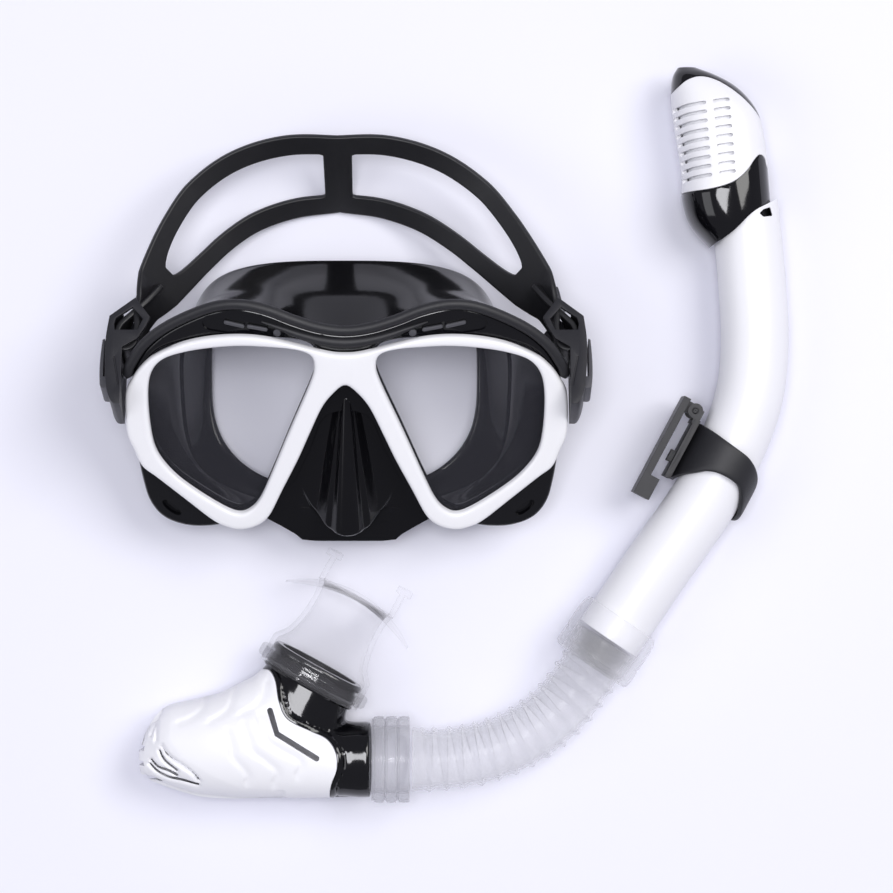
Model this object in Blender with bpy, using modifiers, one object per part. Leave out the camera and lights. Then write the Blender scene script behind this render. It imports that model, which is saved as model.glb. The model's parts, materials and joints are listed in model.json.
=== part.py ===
"""Snorkel mask set: a two-window diving mask and its dry-top snorkel, lying on a flat surface.

The mask lies on the rear edge of its skirt with the windows up, and the snorkel lies on its side next to it.
Every length below is in millimetres and is turned into metres as each mesh is made.
World axes: +Z up from the surface, +X to the wearer's left side of the mask, +Y towards its forehead side.
"""

import math

import bmesh
import bpy
from mathutils import Matrix, Vector

MM = 0.001

# ---------------------------------------------------------------- driving dimensions, in millimetres
SET_SHIFT = Vector((-1.5, -4.55, 0.0))      # brings the origin under the middle of the whole set
GAP = 0.3                                   # gap between neighbouring pieces
RUN = 0.1                                   # running clearance of a pin in its hole

MASK_CENTRE = Vector((-39.8, 5.0, 54.0))    # the mask's own origin, at the back of the white bezel
MASK_TILT = math.radians(27)                # the windows lean this far towards -Y
SWEEP = math.tan(math.radians(7))           # the front sweeps back this much per millimetre of width
BEZEL_FRONT = 3.4
LENS_THICK = 4.0
LENS_TOP = -0.6                             # the windows' front face, in the mask's own height
WEB_TOP, WEB_THICK = -5.6, 2.3
SKIRT_WALL = 2.2
BEAD_R = 1.8

RIM_HALF_WIDTH, RIM_TOP, RIM_BOTTOM = 66.0, 50.0, -44.0
FOREHEAD_LIFT, LIP_LIFT = 26.0, 11.0        # how far the skirt's rear edge arches clear of the surface
SKIRT_LEAN = -3.0                           # the soft skirt leans to one side by this at its rear edge

PIVOT_X, PIVOT_Y, PIVOT_Z = 91.2, 20.0, -14.0   # buckle pivot in the mask's own axes
LOOP_DROP = math.radians(22.7)              # the strap's loop slopes down to the surface by this
STRAP_THICK = 2.4
ROLLER_R = 2.4
ROLLER_AT = Vector((-3.2, 11.5))            # roller centre in the buckle's own axes

SNORKEL_Z = 18.0                            # height of the snorkel's centre line
TUBE_R, TUBE_WALL = 13.8, 1.8
HOSE_R, HOSE_WALL = 13.6, 1.6
SHELL_WALL = 2.0
KEEPER_R = 17.2

# ---------------------------------------------------------------- outlines
# Those of the mask are right halves, from the top centre to the bottom centre.
BEZEL_OUTLINE = [(0, 36.0), (6.7, 36.6), (19.4, 39.4), (30, 41.2), (40.3, 41.6), (52, 40.6), (63.6, 37.8),
                 (74.5, 32.8), (80.4, 25.6), (84.6, 20.6), (87.7, 14.4), (88, -2), (85.4, -10.1),
                 (82.4, -17.3), (76.7, -22), (65.4, -31.4), (55.5, -39.6), (50, -42.6), (43.9, -43.8),
                 (37, -41.8), (31.6, -36.8), (26, -25), (19.4, -11), (14.4, 1), (9.5, 12.2), (5, 18.6),
                 (0, 22.5)]
WINDOW_OUTLINE = [(14.2, 36.4), (12.2, 31.5), (13.6, 24), (22.5, 2), (31, -19.6), (35.4, -29.6),
                  (39.4, -34.4), (44, -36.2), (50.5, -33.8), (61.7, -26.6), (70, -19.6), (76, -11),
                  (78.2, -1), (78.7, 14), (77, 24.6), (72, 31.4), (62.5, 35.2), (51, 37.6), (40, 39),
                  (29, 39.2), (20.5, 38.6)]
BROW_LINE = [(0, 45), (10, 46.2), (20, 49.2), (30, 53), (40, 54.9), (50, 53.8), (61, 49.2), (72, 42.6),
             (80, 35.2), (85.2, 26.9), (86.3, 24.2), (87.6, 19)]
FRAME_LOWER = [(87, 10), (85, -10), (83.2, -24), (80.5, -35), (75, -42), (66, -45.2), (56, -44.9),
               (47, -42.6), (39.5, -40.6), (34.8, -37.4), (30.4, -32), (25.6, -22), (19.2, -9), (14.2, 2),
               (9.8, 12.6), (5, 19.4), (0, 23.3)]
FACE_OUTLINE = [(0, 41.6), (10, 42.6), (20, 45.6), (30, 49.4), (40, 51.2), (50, 50.1), (61, 45.4), (71, 39.2),
                (78, 32.6), (83, 24), (85, 12), (83, -6), (80.4, -21), (76.6, -31.4), (70, -38), (62, -40.8),
                (40, -42.5), (20, -44), (0, -44.5)]
# the nose notch: height and half width, from its top down
NOTCH_SIDE = [(23.3, 0.4), (17.5, 5.8), (6.4, 11.4), (-8.7, 18.0), (-23.8, 24.8), (-34.9, 30.0), (-41, 27.0),
              (-47.5, 19.0)]
# centre, half lengths and slope of the slot in each lower corner
LOBE_SLOT = [(71.6, -36.6), (4.6, 2.4), math.radians(38)]

# chamber of the snorkel's lower unit: x, centre y, half width in the snorkel's plane, half depth
CHAMBER = [(-31, -128.3, 15.4, 15.4), (-45, -128.0, 15.8, 15.8), (-62, -124.8, 19.0, 17.0),
           (-78, -121.8, 22.2, 17.8), (-90, -123.0, 21.3, 17.8), (-102, -123.7, 19.6, 16.6),
           (-115, -123.4, 16.0, 13.2), (-121.5, -126.0, 11.0, 9.0), (-125.5, -129.0, 4.6, 4.6)]
SEAM = [(-80, -60), (-75, -87), (-69, -94.2), (-67.4, -103.5), (-63, -111.2), (-50.8, -116.4),
        (-45.2, -122.1), (-44.3, -129.8), (-47.2, -139.9), (-48, -160)]
# dry top: y, centre x, half width, half depth
DRY_TOP = [(82, 120.5, 13.0, 13.8), (91, 116.5, 16.6, 16.6), (101, 114.6, 17.9, 17.8),
           (110, 114.2, 17.6, 18.0), (120, 113.1, 17.9, 18.0), (130, 111.5, 17.9, 18.0),
           (137, 109.9, 17.3, 17.4), (143, 107.6, 15.4, 15.6), (148, 104.8, 12.6, 13.0),
           (152, 101.5, 8.6, 9.6), (155, 98.6, 4.0, 5.0)]
COLLAR = [(100, 75.6), (110.2, 83.3), (117, 88.4), (124.5, 95.6), (132.4, 100.0), (142, 105.3)]
TUBE_LINE = [(121.4, 104), (123.6, 86), (125.4, 65), (126.4, 42), (124.0, 20), (116.2, -1.5),
             (105.2, -22.3), (84.8, -51.5), (66.5, -78.5)]
HOSE_LINE = [(65.5, -80), (55, -96.5), (43.5, -110), (29, -120), (12, -126.2), (-5, -128.3), (-14, -128.3)]
SPIGOT_END = Vector((-52.0, -89.0, 0.0))
SPIGOT_TURN = math.radians(61)
SPIGOT_HALF = (19.5, 13.5)                  # half width in the plane of the snorkel, half depth
KEEPER_AT = Vector((111.6, -10.2, 0.0))
KEEPER_TURN = math.radians(62)              # direction of the tube at the keeper


# ---------------------------------------------------------------- scene and small helpers
def clear_scene():
    for obj in list(bpy.data.objects):
        bpy.data.objects.remove(obj)


def collection(name):
    made = bpy.data.collections.new(name)
    bpy.context.scene.collection.children.link(made)
    return made


def material(name, colour, roughness, metallic=0.0, alpha=1.0):
    mat = bpy.data.materials.new(name)
    mat.use_nodes = True
    shader = mat.node_tree.nodes["Principled BSDF"]
    shader.inputs["Base Color"].default_value = (*colour, 1.0)
    shader.inputs["Roughness"].default_value = roughness
    shader.inputs["Metallic"].default_value = metallic
    shader.inputs["Alpha"].default_value = alpha
    return mat


clear_scene()
PARTS = collection("snorkel_mask_set")
HELPERS = collection("cutters")
HELPERS.hide_render = True
BLACK_SILICONE = material("black_silicone", (0.012, 0.012, 0.014), 0.35)
BLACK_GLOSS = material("black_gloss", (0.008, 0.008, 0.01), 0.12)
BLACK_MATTE = material("black_matte", (0.03, 0.03, 0.035), 0.55)
WHITE_GLOSS = material("white_gloss", (0.9, 0.9, 0.92), 0.2)
WHITE_TUBE = material("white_tube", (0.88, 0.88, 0.91), 0.35)
GLASS = material("glass", (0.85, 0.87, 0.9), 0.03, alpha=0.25)
CLEAR_SILICONE = material("clear_silicone", (0.9, 0.9, 0.94), 0.25, alpha=0.45)
CLEAR_PLASTIC = material("clear_plastic", (0.55, 0.55, 0.6), 0.1, alpha=0.6)
STEEL = material("steel", (0.7, 0.7, 0.72), 0.25, metallic=1.0)
GREY_PLASTIC = material("grey_plastic", (0.35, 0.35, 0.37), 0.45)


def empty(name, location, rotation):
    made = bpy.data.objects.new(name, None)
    PARTS.objects.link(made)
    made.location = location * MM
    made.rotation_euler = rotation
    return made


def from_faces(name, points, faces, into=None):
    mesh = bpy.data.meshes.new(name)
    mesh.from_pydata([Vector(p) * MM for p in points], [], faces)
    obj = bpy.data.objects.new(name, mesh)
    (into or HELPERS).objects.link(obj)
    return obj


def baked(obj):
    """Applies the object's modifiers, or turns a curve into a mesh, and points every face outwards."""
    bpy.context.view_layer.update()
    graph = bpy.context.evaluated_depsgraph_get()
    mesh = bpy.data.meshes.new_from_object(obj.evaluated_get(graph))
    bm = bmesh.new()
    bm.from_mesh(mesh)
    bmesh.ops.remove_doubles(bm, verts=bm.verts, dist=1e-6)
    bmesh.ops.recalc_face_normals(bm, faces=bm.faces)
    bm.to_mesh(mesh)
    bm.free()
    name = obj.name
    made = bpy.data.objects.new(name + "_mesh", mesh)
    made.matrix_world = obj.matrix_world
    HELPERS.objects.link(made)
    bpy.data.objects.remove(obj)
    made.name = name
    return made


def part(obj, name, mat, parent=None, origin=None):
    """Makes a finished mesh into a named part. origin is a point on its joint's axis, in the mesh's axes."""
    obj.name = name
    obj.data.name = name
    obj.data.transform(obj.matrix_world)
    obj.matrix_world = Matrix.Identity(4)
    obj.data.materials.clear()
    obj.data.materials.append(mat)
    obj.data.shade_smooth()
    obj.data.set_sharp_from_angle(angle=math.radians(35))
    for users in list(obj.users_collection):
        users.objects.unlink(obj)
    PARTS.objects.link(obj)
    origin = Vector(origin) * MM if origin is not None else Vector()
    obj.data.transform(Matrix.Translation(-origin))
    obj.location = origin
    obj.parent = parent
    return obj


def boolean(obj, other, operation):
    """Joins or cuts obj with other, a closed mesh, and uses other up."""
    modifier = obj.modifiers.new(operation.lower(), "BOOLEAN")
    modifier.operation = operation
    modifier.object = other
    made = baked(obj)
    bpy.data.objects.remove(other)
    return made


def solidified(obj, thickness):
    """Gives an open surface a wall on its inner side."""
    modifier = obj.modifiers.new("wall", "SOLIDIFY")
    modifier.thickness = thickness * MM
    modifier.offset = -1
    modifier.use_even_offset = True
    return baked(obj)


def smooth_line(points, steps, cyclic=False):
    """A Catmull-Rom curve through the points, with this many steps to each span."""
    points = [Vector(p) for p in points]
    count = len(points)
    spans = count if cyclic else count - 1
    line = []
    for i in range(spans):
        if cyclic:
            a, b, c, d = (points[(i + k) % count] for k in (-1, 0, 1, 2))
        else:
            b, c = points[i], points[i + 1]
            a = points[i - 1] if i else b * 2 - c
            d = points[i + 2] if i + 2 < count else c * 2 - b
        for k in range(steps):
            t = k / steps
            line.append(0.5 * (2 * b + (c - a) * t + (2 * a - 5 * b + 4 * c - d) * t * t
                               + (3 * b - a - 3 * c + d) * t ** 3))
    if not cyclic:
        line.append(points[-1])
    return line


def mirrored(half):
    """The closed outline of a right half that starts and ends on the middle plane."""
    left = [(-x, y) for x, y in reversed(half[1:-1])]
    return half + left


def grown(outline, distance):
    """The closed outline moved outwards by a distance."""
    count = len(outline)
    area = sum(a.x * b.y - b.x * a.y for a, b in zip(outline, outline[1:] + outline[:1]))
    side = 1 if area > 0 else -1
    moved = []
    for i, point in enumerate(outline):
        along = (outline[(i + 1) % count] - outline[i - 1]).normalized()
        moved.append(point + side * distance * Vector((along.y, -along.x)))
    return moved


def plate(name, outlines, low, high):
    """A flat plate between two heights from closed outlines. An outline inside another is a hole."""
    curve = bpy.data.curves.new(name, "CURVE")
    curve.dimensions = "2D"
    curve.fill_mode = "BOTH"
    curve.extrude = (high - low) / 2 * MM
    for outline in outlines:
        spline = curve.splines.new("POLY")
        spline.points.add(len(outline) - 1)
        for slot, point in zip(spline.points, outline):
            slot.co = (point[0] * MM, point[1] * MM, 0, 1)
        spline.use_cyclic_u = True
    obj = bpy.data.objects.new(name, curve)
    HELPERS.objects.link(obj)
    obj.location.z = (high + low) / 2 * MM
    made = baked(obj)
    made.data.transform(made.matrix_world)
    made.matrix_world = Matrix.Identity(4)
    return made


def swept_back(obj):
    """Bends a flat piece of the mask's front back towards the temples."""
    bm = bmesh.new()
    bm.from_mesh(obj.data)
    for x in (-44, -28, -14, -6, 6, 14, 28, 44):
        bmesh.ops.bisect_plane(bm, geom=[*bm.verts, *bm.edges, *bm.faces], plane_co=(x * MM, 0, 0),
                               plane_no=(1, 0, 0), dist=1e-6)
    for vertex in bm.verts:
        vertex.co.z += sweep_at(vertex.co.x / MM) * MM
    bm.to_mesh(obj.data)
    bm.free()
    return obj


def sweep_at(x):
    return -SWEEP * (math.hypot(x, 24) - 24)


def loft(name, rings, close_start=True, close_end=True, cyclic=True):
    """A surface through rings of equally many points. Closed ends make it a solid."""
    size = len(rings[0])
    points = [p for ring in rings for p in ring]
    faces = []
    for i in range(len(rings) - 1):
        for j in range(size if cyclic else size - 1):
            k = (j + 1) % size
            faces.append((i * size + j, i * size + k, (i + 1) * size + k, (i + 1) * size + j))
    if close_start:
        faces.append(tuple(reversed(range(size))))
    if close_end:
        faces.append(tuple(range((len(rings) - 1) * size, len(rings) * size)))
    obj = from_faces(name, points, faces)
    bm = bmesh.new()
    bm.from_mesh(obj.data)
    bmesh.ops.recalc_face_normals(bm, faces=bm.faces)
    bm.to_mesh(obj.data)
    bm.free()
    return obj


def super_ring(count, half_a, half_b, power):
    """Points of a rounded rectangle or ellipse as pairs, anticlockwise."""
    ring = []
    for i in range(count):
        angle = 2 * math.pi * i / count
        c, s = math.cos(angle), math.sin(angle)
        ring.append((half_a * math.copysign(abs(c) ** (2 / power), c),
                     half_b * math.copysign(abs(s) ** (2 / power), s)))
    return ring


def box(name, low, high):
    """A box between two corners."""
    bm = bmesh.new()
    bmesh.ops.create_cube(bm, size=1)
    low, high = Vector(low) * MM, Vector(high) * MM
    size = high - low
    for vertex in bm.verts:
        vertex.co = Vector(vertex.co[i] * size[i] for i in range(3)) + (low + high) / 2
    mesh = bpy.data.meshes.new(name)
    bm.to_mesh(mesh)
    bm.free()
    obj = bpy.data.objects.new(name, mesh)
    HELPERS.objects.link(obj)
    return obj


def rod(name, start, end, radius, sides=16):
    """A round bar between two points."""
    start, end = Vector(start) * MM, Vector(end) * MM
    bm = bmesh.new()
    bmesh.ops.create_cone(bm, cap_ends=True, segments=sides, radius1=radius * MM, radius2=radius * MM,
                          depth=(end - start).length)
    turn = (end - start).to_track_quat("Z", "Y").to_matrix().to_4x4()
    bm.transform(Matrix.Translation((start + end) / 2) @ turn)
    mesh = bpy.data.meshes.new(name)
    bm.to_mesh(mesh)
    bm.free()
    obj = bpy.data.objects.new(name, mesh)
    HELPERS.objects.link(obj)
    return obj


def turned(name, profile, base, direction, sides=20):
    """A piece turned on a lathe: profile is a closed loop of (radius, height) about the line from base."""
    mesh = bpy.data.meshes.new(name)
    count = len(profile)
    points = [Vector((r, 0, h)) * MM for r, h in profile]
    mesh.from_pydata(points, [(i, (i + 1) % count) for i in range(count)], [])
    obj = bpy.data.objects.new(name, mesh)
    HELPERS.objects.link(obj)
    screw = obj.modifiers.new("turn", "SCREW")
    screw.steps = screw.render_steps = sides
    screw.use_merge_vertices = True
    screw.merge_threshold = 0.00001
    made = baked(obj)
    turn = Vector(direction).to_track_quat("Z", "Y").to_matrix().to_4x4()
    made.data.transform(Matrix.Translation(Vector(base) * MM) @ turn)
    return made


def bent_tube(name, line, radius, wall, sides=16):
    """A hollow tube along a smooth line in the snorkel's plane, open at both ends."""
    curve = bpy.data.curves.new(name, "CURVE")
    curve.dimensions = "3D"
    curve.bevel_depth = radius * MM
    curve.bevel_resolution = sides // 4 - 1
    spline = curve.splines.new("POLY")
    spline.points.add(len(line) - 1)
    for slot, point in zip(spline.points, line):
        slot.co = (point.x * MM, point.y * MM, SNORKEL_Z * MM, 1)
    obj = bpy.data.objects.new(name, curve)
    HELPERS.objects.link(obj)
    return solidified(baked(obj), wall)


# ---------------------------------------------------------------- the mask
def reach_of(outline, direction):
    """How far a closed outline around the origin reaches in a direction."""
    best = 0.0
    for a, b in zip(outline, outline[1:] + outline[:1]):
        edge = b - a
        across = direction.x * edge.y - direction.y * edge.x
        if abs(across) < 1e-9:
            continue
        distance = (a.x * edge.y - a.y * edge.x) / across
        share = (a.x * direction.y - a.y * direction.x) / across
        if distance > 0 and -1e-6 <= share <= 1 + 1e-6:
            best = max(best, distance)
    return best


def mask_skirt(parent):
    """The silicone skirt: a web under the windows, walls back to the face, a turned-in lip and the nose."""
    front = smooth_line(mirrored(FACE_OUTLINE), 3, cyclic=True)
    rim = [Vector(p) for p in super_ring(48, 1.0, 1.0, 2.7)]
    rim = [Vector((p.x * RIM_HALF_WIDTH, p.y * (RIM_TOP if p.y > 0 else -RIM_BOTTOM))) for p in rim]
    face = [p.normalized() * reach_of(front, p.normalized()) for p in rim]

    def ring(share, spread, turned_in=0.0, lifted=0.0):
        """share is the way back from the web to the rear edge, spread the way in from the front's outline."""
        points = []
        for near, far in zip(face, rim):
            flat = near.lerp(far, spread) * (1 - turned_in)
            up = far.y / (RIM_TOP if far.y > 0 else -RIM_BOTTOM)
            rear = -(MASK_CENTRE.z + math.sin(MASK_TILT) * flat.y) / math.cos(MASK_TILT)
            rear += FOREHEAD_LIFT * max(0, up) ** 2.5 + LIP_LIFT * max(0, -up) ** 6
            start = sweep_at(flat.x) + WEB_TOP - 1.4
            points.append((flat.x + SKIRT_LEAN * share, flat.y, start + (rear - start) * share + lifted))
        return points

    rings = [ring(0, 0), ring(0.1, 0.12), ring(0.45, 0.7), ring(0.8, 0.92), ring(1, 1), ring(1, 1, 0.09, 2.0),
             ring(1, 1, 0.2, 5.0)]
    wall = solidified(loft("skirt_wall", rings, False, False), SKIRT_WALL)
    window = smooth_line(WINDOW_OUTLINE, 2, cyclic=True)
    holes = [grown(window, 0.5), grown([Vector((-p.x, p.y)) for p in window], 0.5)]
    nose_hole = [(half - 4.5, height - 1) for height, half in NOTCH_SIDE if half > 6 and height > -38]
    nose_hole = [Vector(p) for p in nose_hole] + [Vector((-x, y)) for x, y in reversed(nose_hole)]
    web = plate("skirt_web", [grown(face, -1.0), *holes, nose_hole], WEB_TOP - WEB_THICK, WEB_TOP)
    made = boolean(wall, swept_back(web), "UNION")
    made = boolean(made, nose_pocket(), "UNION")
    return part(made, "skirt", BLACK_SILICONE, parent)


def notch_half(height):
    """Half the width of the nose notch at a height."""
    for (high, half_high), (low, half_low) in zip(NOTCH_SIDE, NOTCH_SIDE[1:]):
        if low <= height <= high:
            share = (high - height) / (high - low)
            return half_high + (half_low - half_high) * share
    return NOTCH_SIDE[0][1]


def nose_pocket():
    """The nose pocket as a shell: a ridge that grows towards the nostrils, with a valley on each side."""
    across, rows = 14, [22.5, 17, 9, 0, -9, -18, -27, -35, -41, -45, -47.5]
    rings = []
    for height in rows:
        half = notch_half(height) - 1.0
        grow = min(1.0, (23.3 - height) / 55)
        under = max(0.0, (-37 - height) / 11)
        ridge = (3.5 + 15.5 * grow) * math.sqrt(max(0.0, 1 - under * under))
        nose_half = 4.0 + 14.0 * grow * grow
        ring = []
        for k in range(across + 1):
            x = half * (2 * k / across - 1)
            edge = min(1.0, (half - abs(x)) / 2.2)
            hump = max(0.0, 1 - (x / nose_half) ** 2) ** 0.75
            ring.append((x, height, -7.4 + 4.2 * edge * (1 - under) + ridge * hump))
        rings.append(ring)
    surface = loft("nose", rings, False, False, cyclic=False)
    if sum(f.normal.z for f in surface.data.polygons) < 0:
        surface.data.flip_normals()
    return solidified(surface, 2.0)


def offset_line(line, distance):
    """An open line moved to its right-hand side by a distance."""
    moved = []
    for i, point in enumerate(line):
        along = (line[min(i + 1, len(line) - 1)] - line[max(i - 1, 0)]).normalized()
        moved.append(point + distance * Vector((along.y, -along.x)))
    return moved


def frame_outline():
    """The frame's outline, following the brow bead at a small gap."""
    brow = [Vector((-x, y)) for x, y in reversed(BROW_LINE[1:])] + [Vector(p) for p in BROW_LINE]
    brow = offset_line(smooth_line(brow, 2), BEAD_R + GAP + 0.15)
    right = smooth_line(FRAME_LOWER, 2)
    left = [Vector((-p.x, p.y)) for p in reversed(right[:-1])]
    return brow + right + left


def mask_frame(parent):
    """The black frame behind the bezel, with both window seats, the corner slots and the buckle lugs."""
    window = smooth_line(WINDOW_OUTLINE, 2, cyclic=True)
    seat = grown(window, 2.4 + GAP)
    (slot_x, slot_y), (long_half, short_half), slope = LOBE_SLOT
    c, s = math.cos(slope), math.sin(slope)
    slot = [Vector((slot_x + a * c - b * s, slot_y + a * s + b * c))
            for a, b in super_ring(14, long_half, short_half, 2)]
    holes = [outline for right in (seat, slot) for outline in (right, [Vector((-p.x, p.y)) for p in right])]
    made = swept_back(plate("frame", [frame_outline(), *holes], LENS_TOP - LENS_THICK, LENS_TOP))
    for side in (-1, 1):
        lug_x = sorted((side * 85.9, side * 88.4))
        lug = box("lug", (lug_x[0], PIVOT_Y - 7, PIVOT_Z - 5), (lug_x[1], PIVOT_Y + 3, -11.6))
        made = boolean(made, lug, "UNION")
        bore = rod("bore", (side * 85, PIVOT_Y, PIVOT_Z), (side * 100, PIVOT_Y, PIVOT_Z), 2.0 + RUN, 16)
        made = boolean(made, bore, "DIFFERENCE")
    return part(made, "mask_frame", BLACK_GLOSS, parent)


def mask_bezel(parent):
    """The white front that clamps both windows to the frame."""
    window = smooth_line(WINDOW_OUTLINE, 2, cyclic=True)
    outer = smooth_line(mirrored(BEZEL_OUTLINE), 2, cyclic=True)
    made = plate("bezel", [outer, window, [Vector((-p.x, p.y)) for p in window]], 0.0, BEZEL_FRONT)
    return part(swept_back(made), "front_bezel", WHITE_GLOSS, parent)


def mask_windows(parent):
    window = grown(smooth_line(WINDOW_OUTLINE, 2, cyclic=True), 2.4)
    for name, side in (("window_right", -1), ("window_left", 1)):
        outline = [Vector((side * p.x, p.y)) for p in window]
        pane = plate(name, [outline], LENS_TOP - LENS_THICK, LENS_TOP)
        part(swept_back(pane), name, GLASS, parent)


def brow_bead(parent):
    """The soft bead along the brow."""
    half = BROW_LINE[:-1]
    line = smooth_line([(-x, y) for x, y in reversed(half[1:])] + half, 2)
    curve = bpy.data.curves.new("bead", "CURVE")
    curve.dimensions = "3D"
    curve.bevel_depth = BEAD_R * MM
    curve.bevel_resolution = 1
    curve.use_fill_caps = True
    spline = curve.splines.new("POLY")
    spline.points.add(len(line) - 1)
    for slot, point in zip(spline.points, line):
        slot.co = (point.x * MM, point.y * MM, (sweep_at(point.x) - 0.6) * MM, 1)
    obj = bpy.data.objects.new("bead", curve)
    HELPERS.objects.link(obj)
    return part(baked(obj), "brow_bead", BLACK_MATTE, parent)


# ---------------------------------------------------------------- strap and buckles, in the loop's own axes
# X across the mask, Y along the loop away from the pivots, Z across the strap's width.
def buckle_axes(side):
    """Moves a buckle made at the origin to its pivot. Its own X is outwards and its own Y along the strap."""
    return Matrix.Translation(Vector((side * PIVOT_X, 0, 0)) * MM) @ Matrix.Scale(side, 4, (1, 0, 0))


def placed(obj, matrix):
    obj.data.transform(matrix)
    if matrix.determinant() < 0:
        obj.data.flip_normals()
    return obj


BUCKLE_PLAN = [(-2.4, -17.5), (0.6, -17), (2.8, -12), (3.8, -5), (4.3, 4), (4.2, 12), (3.2, 20.5),
               (-6.8, 28.6), (-13.0, 20), (-11.4, 16), (-8.2, 10.6), (-2.4, 7)]
BUCKLE_WELL = [(-30, 3.4), (1.2, 3.4), (2.5, 6), (2.6, 12), (1.8, 19.6), (-1.6, 22.6), (-1.6, 60),
               (-30, 60)]
BUCKLE_HALF, CHEEK = 10.4, 1.7
LEVER_AT = (2.4, -7.0)                      # the release lever's pin in the buckle's own axes


def buckle(side, parent):
    word = "left" if side > 0 else "right"
    move = buckle_axes(side)
    at = lambda point: (move @ (Vector(point) * MM)) / MM
    rx, ry = ROLLER_AT
    lx, ly = LEVER_AT
    inner = BUCKLE_HALF - CHEEK
    body = plate("body", [[Vector(p) for p in BUCKLE_PLAN]], -BUCKLE_HALF, BUCKLE_HALF)
    body = boolean(body, plate("well", [[Vector(p) for p in BUCKLE_WELL]], -inner, inner), "DIFFERENCE")
    body = boolean(body, box("window", (-5.4, 17.4, 5), (0.4, 22.8, 20)), "DIFFERENCE")
    body = boolean(body, box("lever_well", (0.2, -10.2, -7.3), (20, -3.6, 7.3)), "DIFFERENCE")
    body = boolean(body, rod("roller_seat", (rx, ry, -9.6), (rx, ry, 9.6), 1.25 + RUN, 12), "DIFFERENCE")
    body = boolean(body, rod("lever_seat", (lx, ly, -9.3), (lx, ly, 9.3), 0.75 + RUN, 12), "DIFFERENCE")
    body = boolean(body, rod("pin_hole", (-10, 0, 0), (1.2, 0, 0), 2.0 + RUN, 16), "DIFFERENCE")
    part(placed(body, move), "buckle_" + word, BLACK_MATTE, parent, (side * PIVOT_X, 0, 0))

    pin = rod("pin", at((-5.0, 0, 0)), at((0.9, 0, 0)), 2.0, 16)
    part(pin, "pivot_pin_" + word, STEEL, parent, (side * PIVOT_X, 0, 0))

    roller = rod("roller", (rx, ry, -8.3), (rx, ry, 8.3), ROLLER_R, 14)
    roller = boolean(roller, rod("stub", (rx, ry, -9.3), (rx, ry, 9.3), 1.25, 12), "UNION")
    part(placed(roller, move), "strap_roller_" + word, BLACK_MATTE, parent, at((rx, ry, 0)))

    lever = box("lever", (1.0, -9.0, -7.0), (5.2, -4.4, 7.0))
    lever = boolean(lever, box("tab", (4.8, -9.0, -7.0), (6.2, 12, 7.0)), "UNION")
    lever = boolean(lever, rod("hole", (lx, ly, -9), (lx, ly, 9), 0.75 + RUN, 12), "DIFFERENCE")
    part(placed(lever, move), "release_lever_" + word, GREY_PLASTIC, parent, at((lx, ly, 0)))
    lever_pin = rod("lever_pin", (lx, ly, -9.0), (lx, ly, 9.0), 0.75, 12)
    part(placed(lever_pin, move), "lever_pin_" + word, STEEL, parent, at((lx, ly, 0)))


def strap_route():
    """The strap's centre line from the middle of the head band to the end of the tail, on the +X side."""
    rx, ry = ROLLER_AT
    reach = ROLLER_R + GAP + STRAP_THICK / 2
    wrap = [Vector((PIVOT_X + rx - reach * math.cos(a), ry - reach * math.sin(a)))
            for a in (math.radians(k) for k in (-12, 20, 56, 92, 128, 164))]
    band = [Vector(p) for p in ((0, 89.6), (20, 88.2), (38, 82), (52, 71.8), (62, 59.8), (70.5, 47),
                                (77.8, 34.5), (82.6, 23.5))]
    tail = [Vector((PIVOT_X + rx + reach + 0.1, ry + 1.5)), Vector((PIVOT_X - 0.2, ry + 7.5))]
    return band, wrap, tail


def strap(parent):
    """The split head strap: two bands joined at the middle, wrapped round a roller at each end."""
    band, wrap, tail = strap_route()
    route = smooth_line([*band, wrap[0]], 2)[:-1] + wrap + tail
    lengths = [0.0]
    for a, b in zip(route, route[1:]):
        lengths.append(lengths[-1] + (b - a).length)
    hole_start, hole_end, narrow, clasp = 5.0, 88.0, 108.0, 112.0
    columns = []
    for i, (point, along) in enumerate(zip(route, lengths)):
        half = 8.1 + 12.4 * max(0.0, math.cos(min(1.0, along / narrow) * math.pi / 2)) ** 0.7
        inner = 10.2 * max(0.0, 1 - (along / hole_end) ** 2.6) ** 0.55
        after = route[min(i + 1, len(route) - 1)] - route[max(i - 1, 0)]
        normal = Vector((after.y, -after.x)).normalized()
        lean = math.radians(20 + 22 * min(1.0, along / 60)) * max(0.0, min(1.0, (clasp - along) / 34))
        columns.append((point, normal, lean, half, inner, along))
    columns.insert(1, cut_column(columns, hole_start))

    points, index = [], {}
    for side in (1, -1):
        for i, (point, normal, lean, half, inner, along) in enumerate(columns):
            if side < 0 and i == 0:
                for row in range(4):
                    index[(side, 0, row)] = index[(1, 0, row)]
                continue
            for row, across in enumerate((-half, -max(inner, 0.9), max(inner, 0.9), half)):
                if along > hole_end:
                    across = (-half, -half / 3, half / 3, half)[row]
                out = across * math.sin(lean)
                index[(side, i, row)] = len(points)
                aside = -4.5 * math.cos(min(1.0, along / narrow) * math.pi / 2)
                points.append((side * (point.x - normal.x * out) + aside, point.y - normal.y * out,
                               across * math.cos(lean)))
    faces = []
    for side in (1, -1):
        for i in range(len(columns) - 1):
            for row in range(3):
                start, end = columns[i][5], columns[i + 1][5]
                if row == 1 and start >= hole_start - 0.01 and end <= hole_end:
                    continue
                corner = [index[(side, i, row)], index[(side, i + 1, row)], index[(side, i + 1, row + 1)],
                          index[(side, i, row + 1)]]
                faces.append(corner if side > 0 else corner[::-1])
    surface = from_faces("strap", points, faces)
    modifier = surface.modifiers.new("wall", "SOLIDIFY")
    modifier.thickness = STRAP_THICK * MM
    modifier.offset = 0
    part(baked(surface), "head_strap", BLACK_SILICONE, parent)


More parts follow.
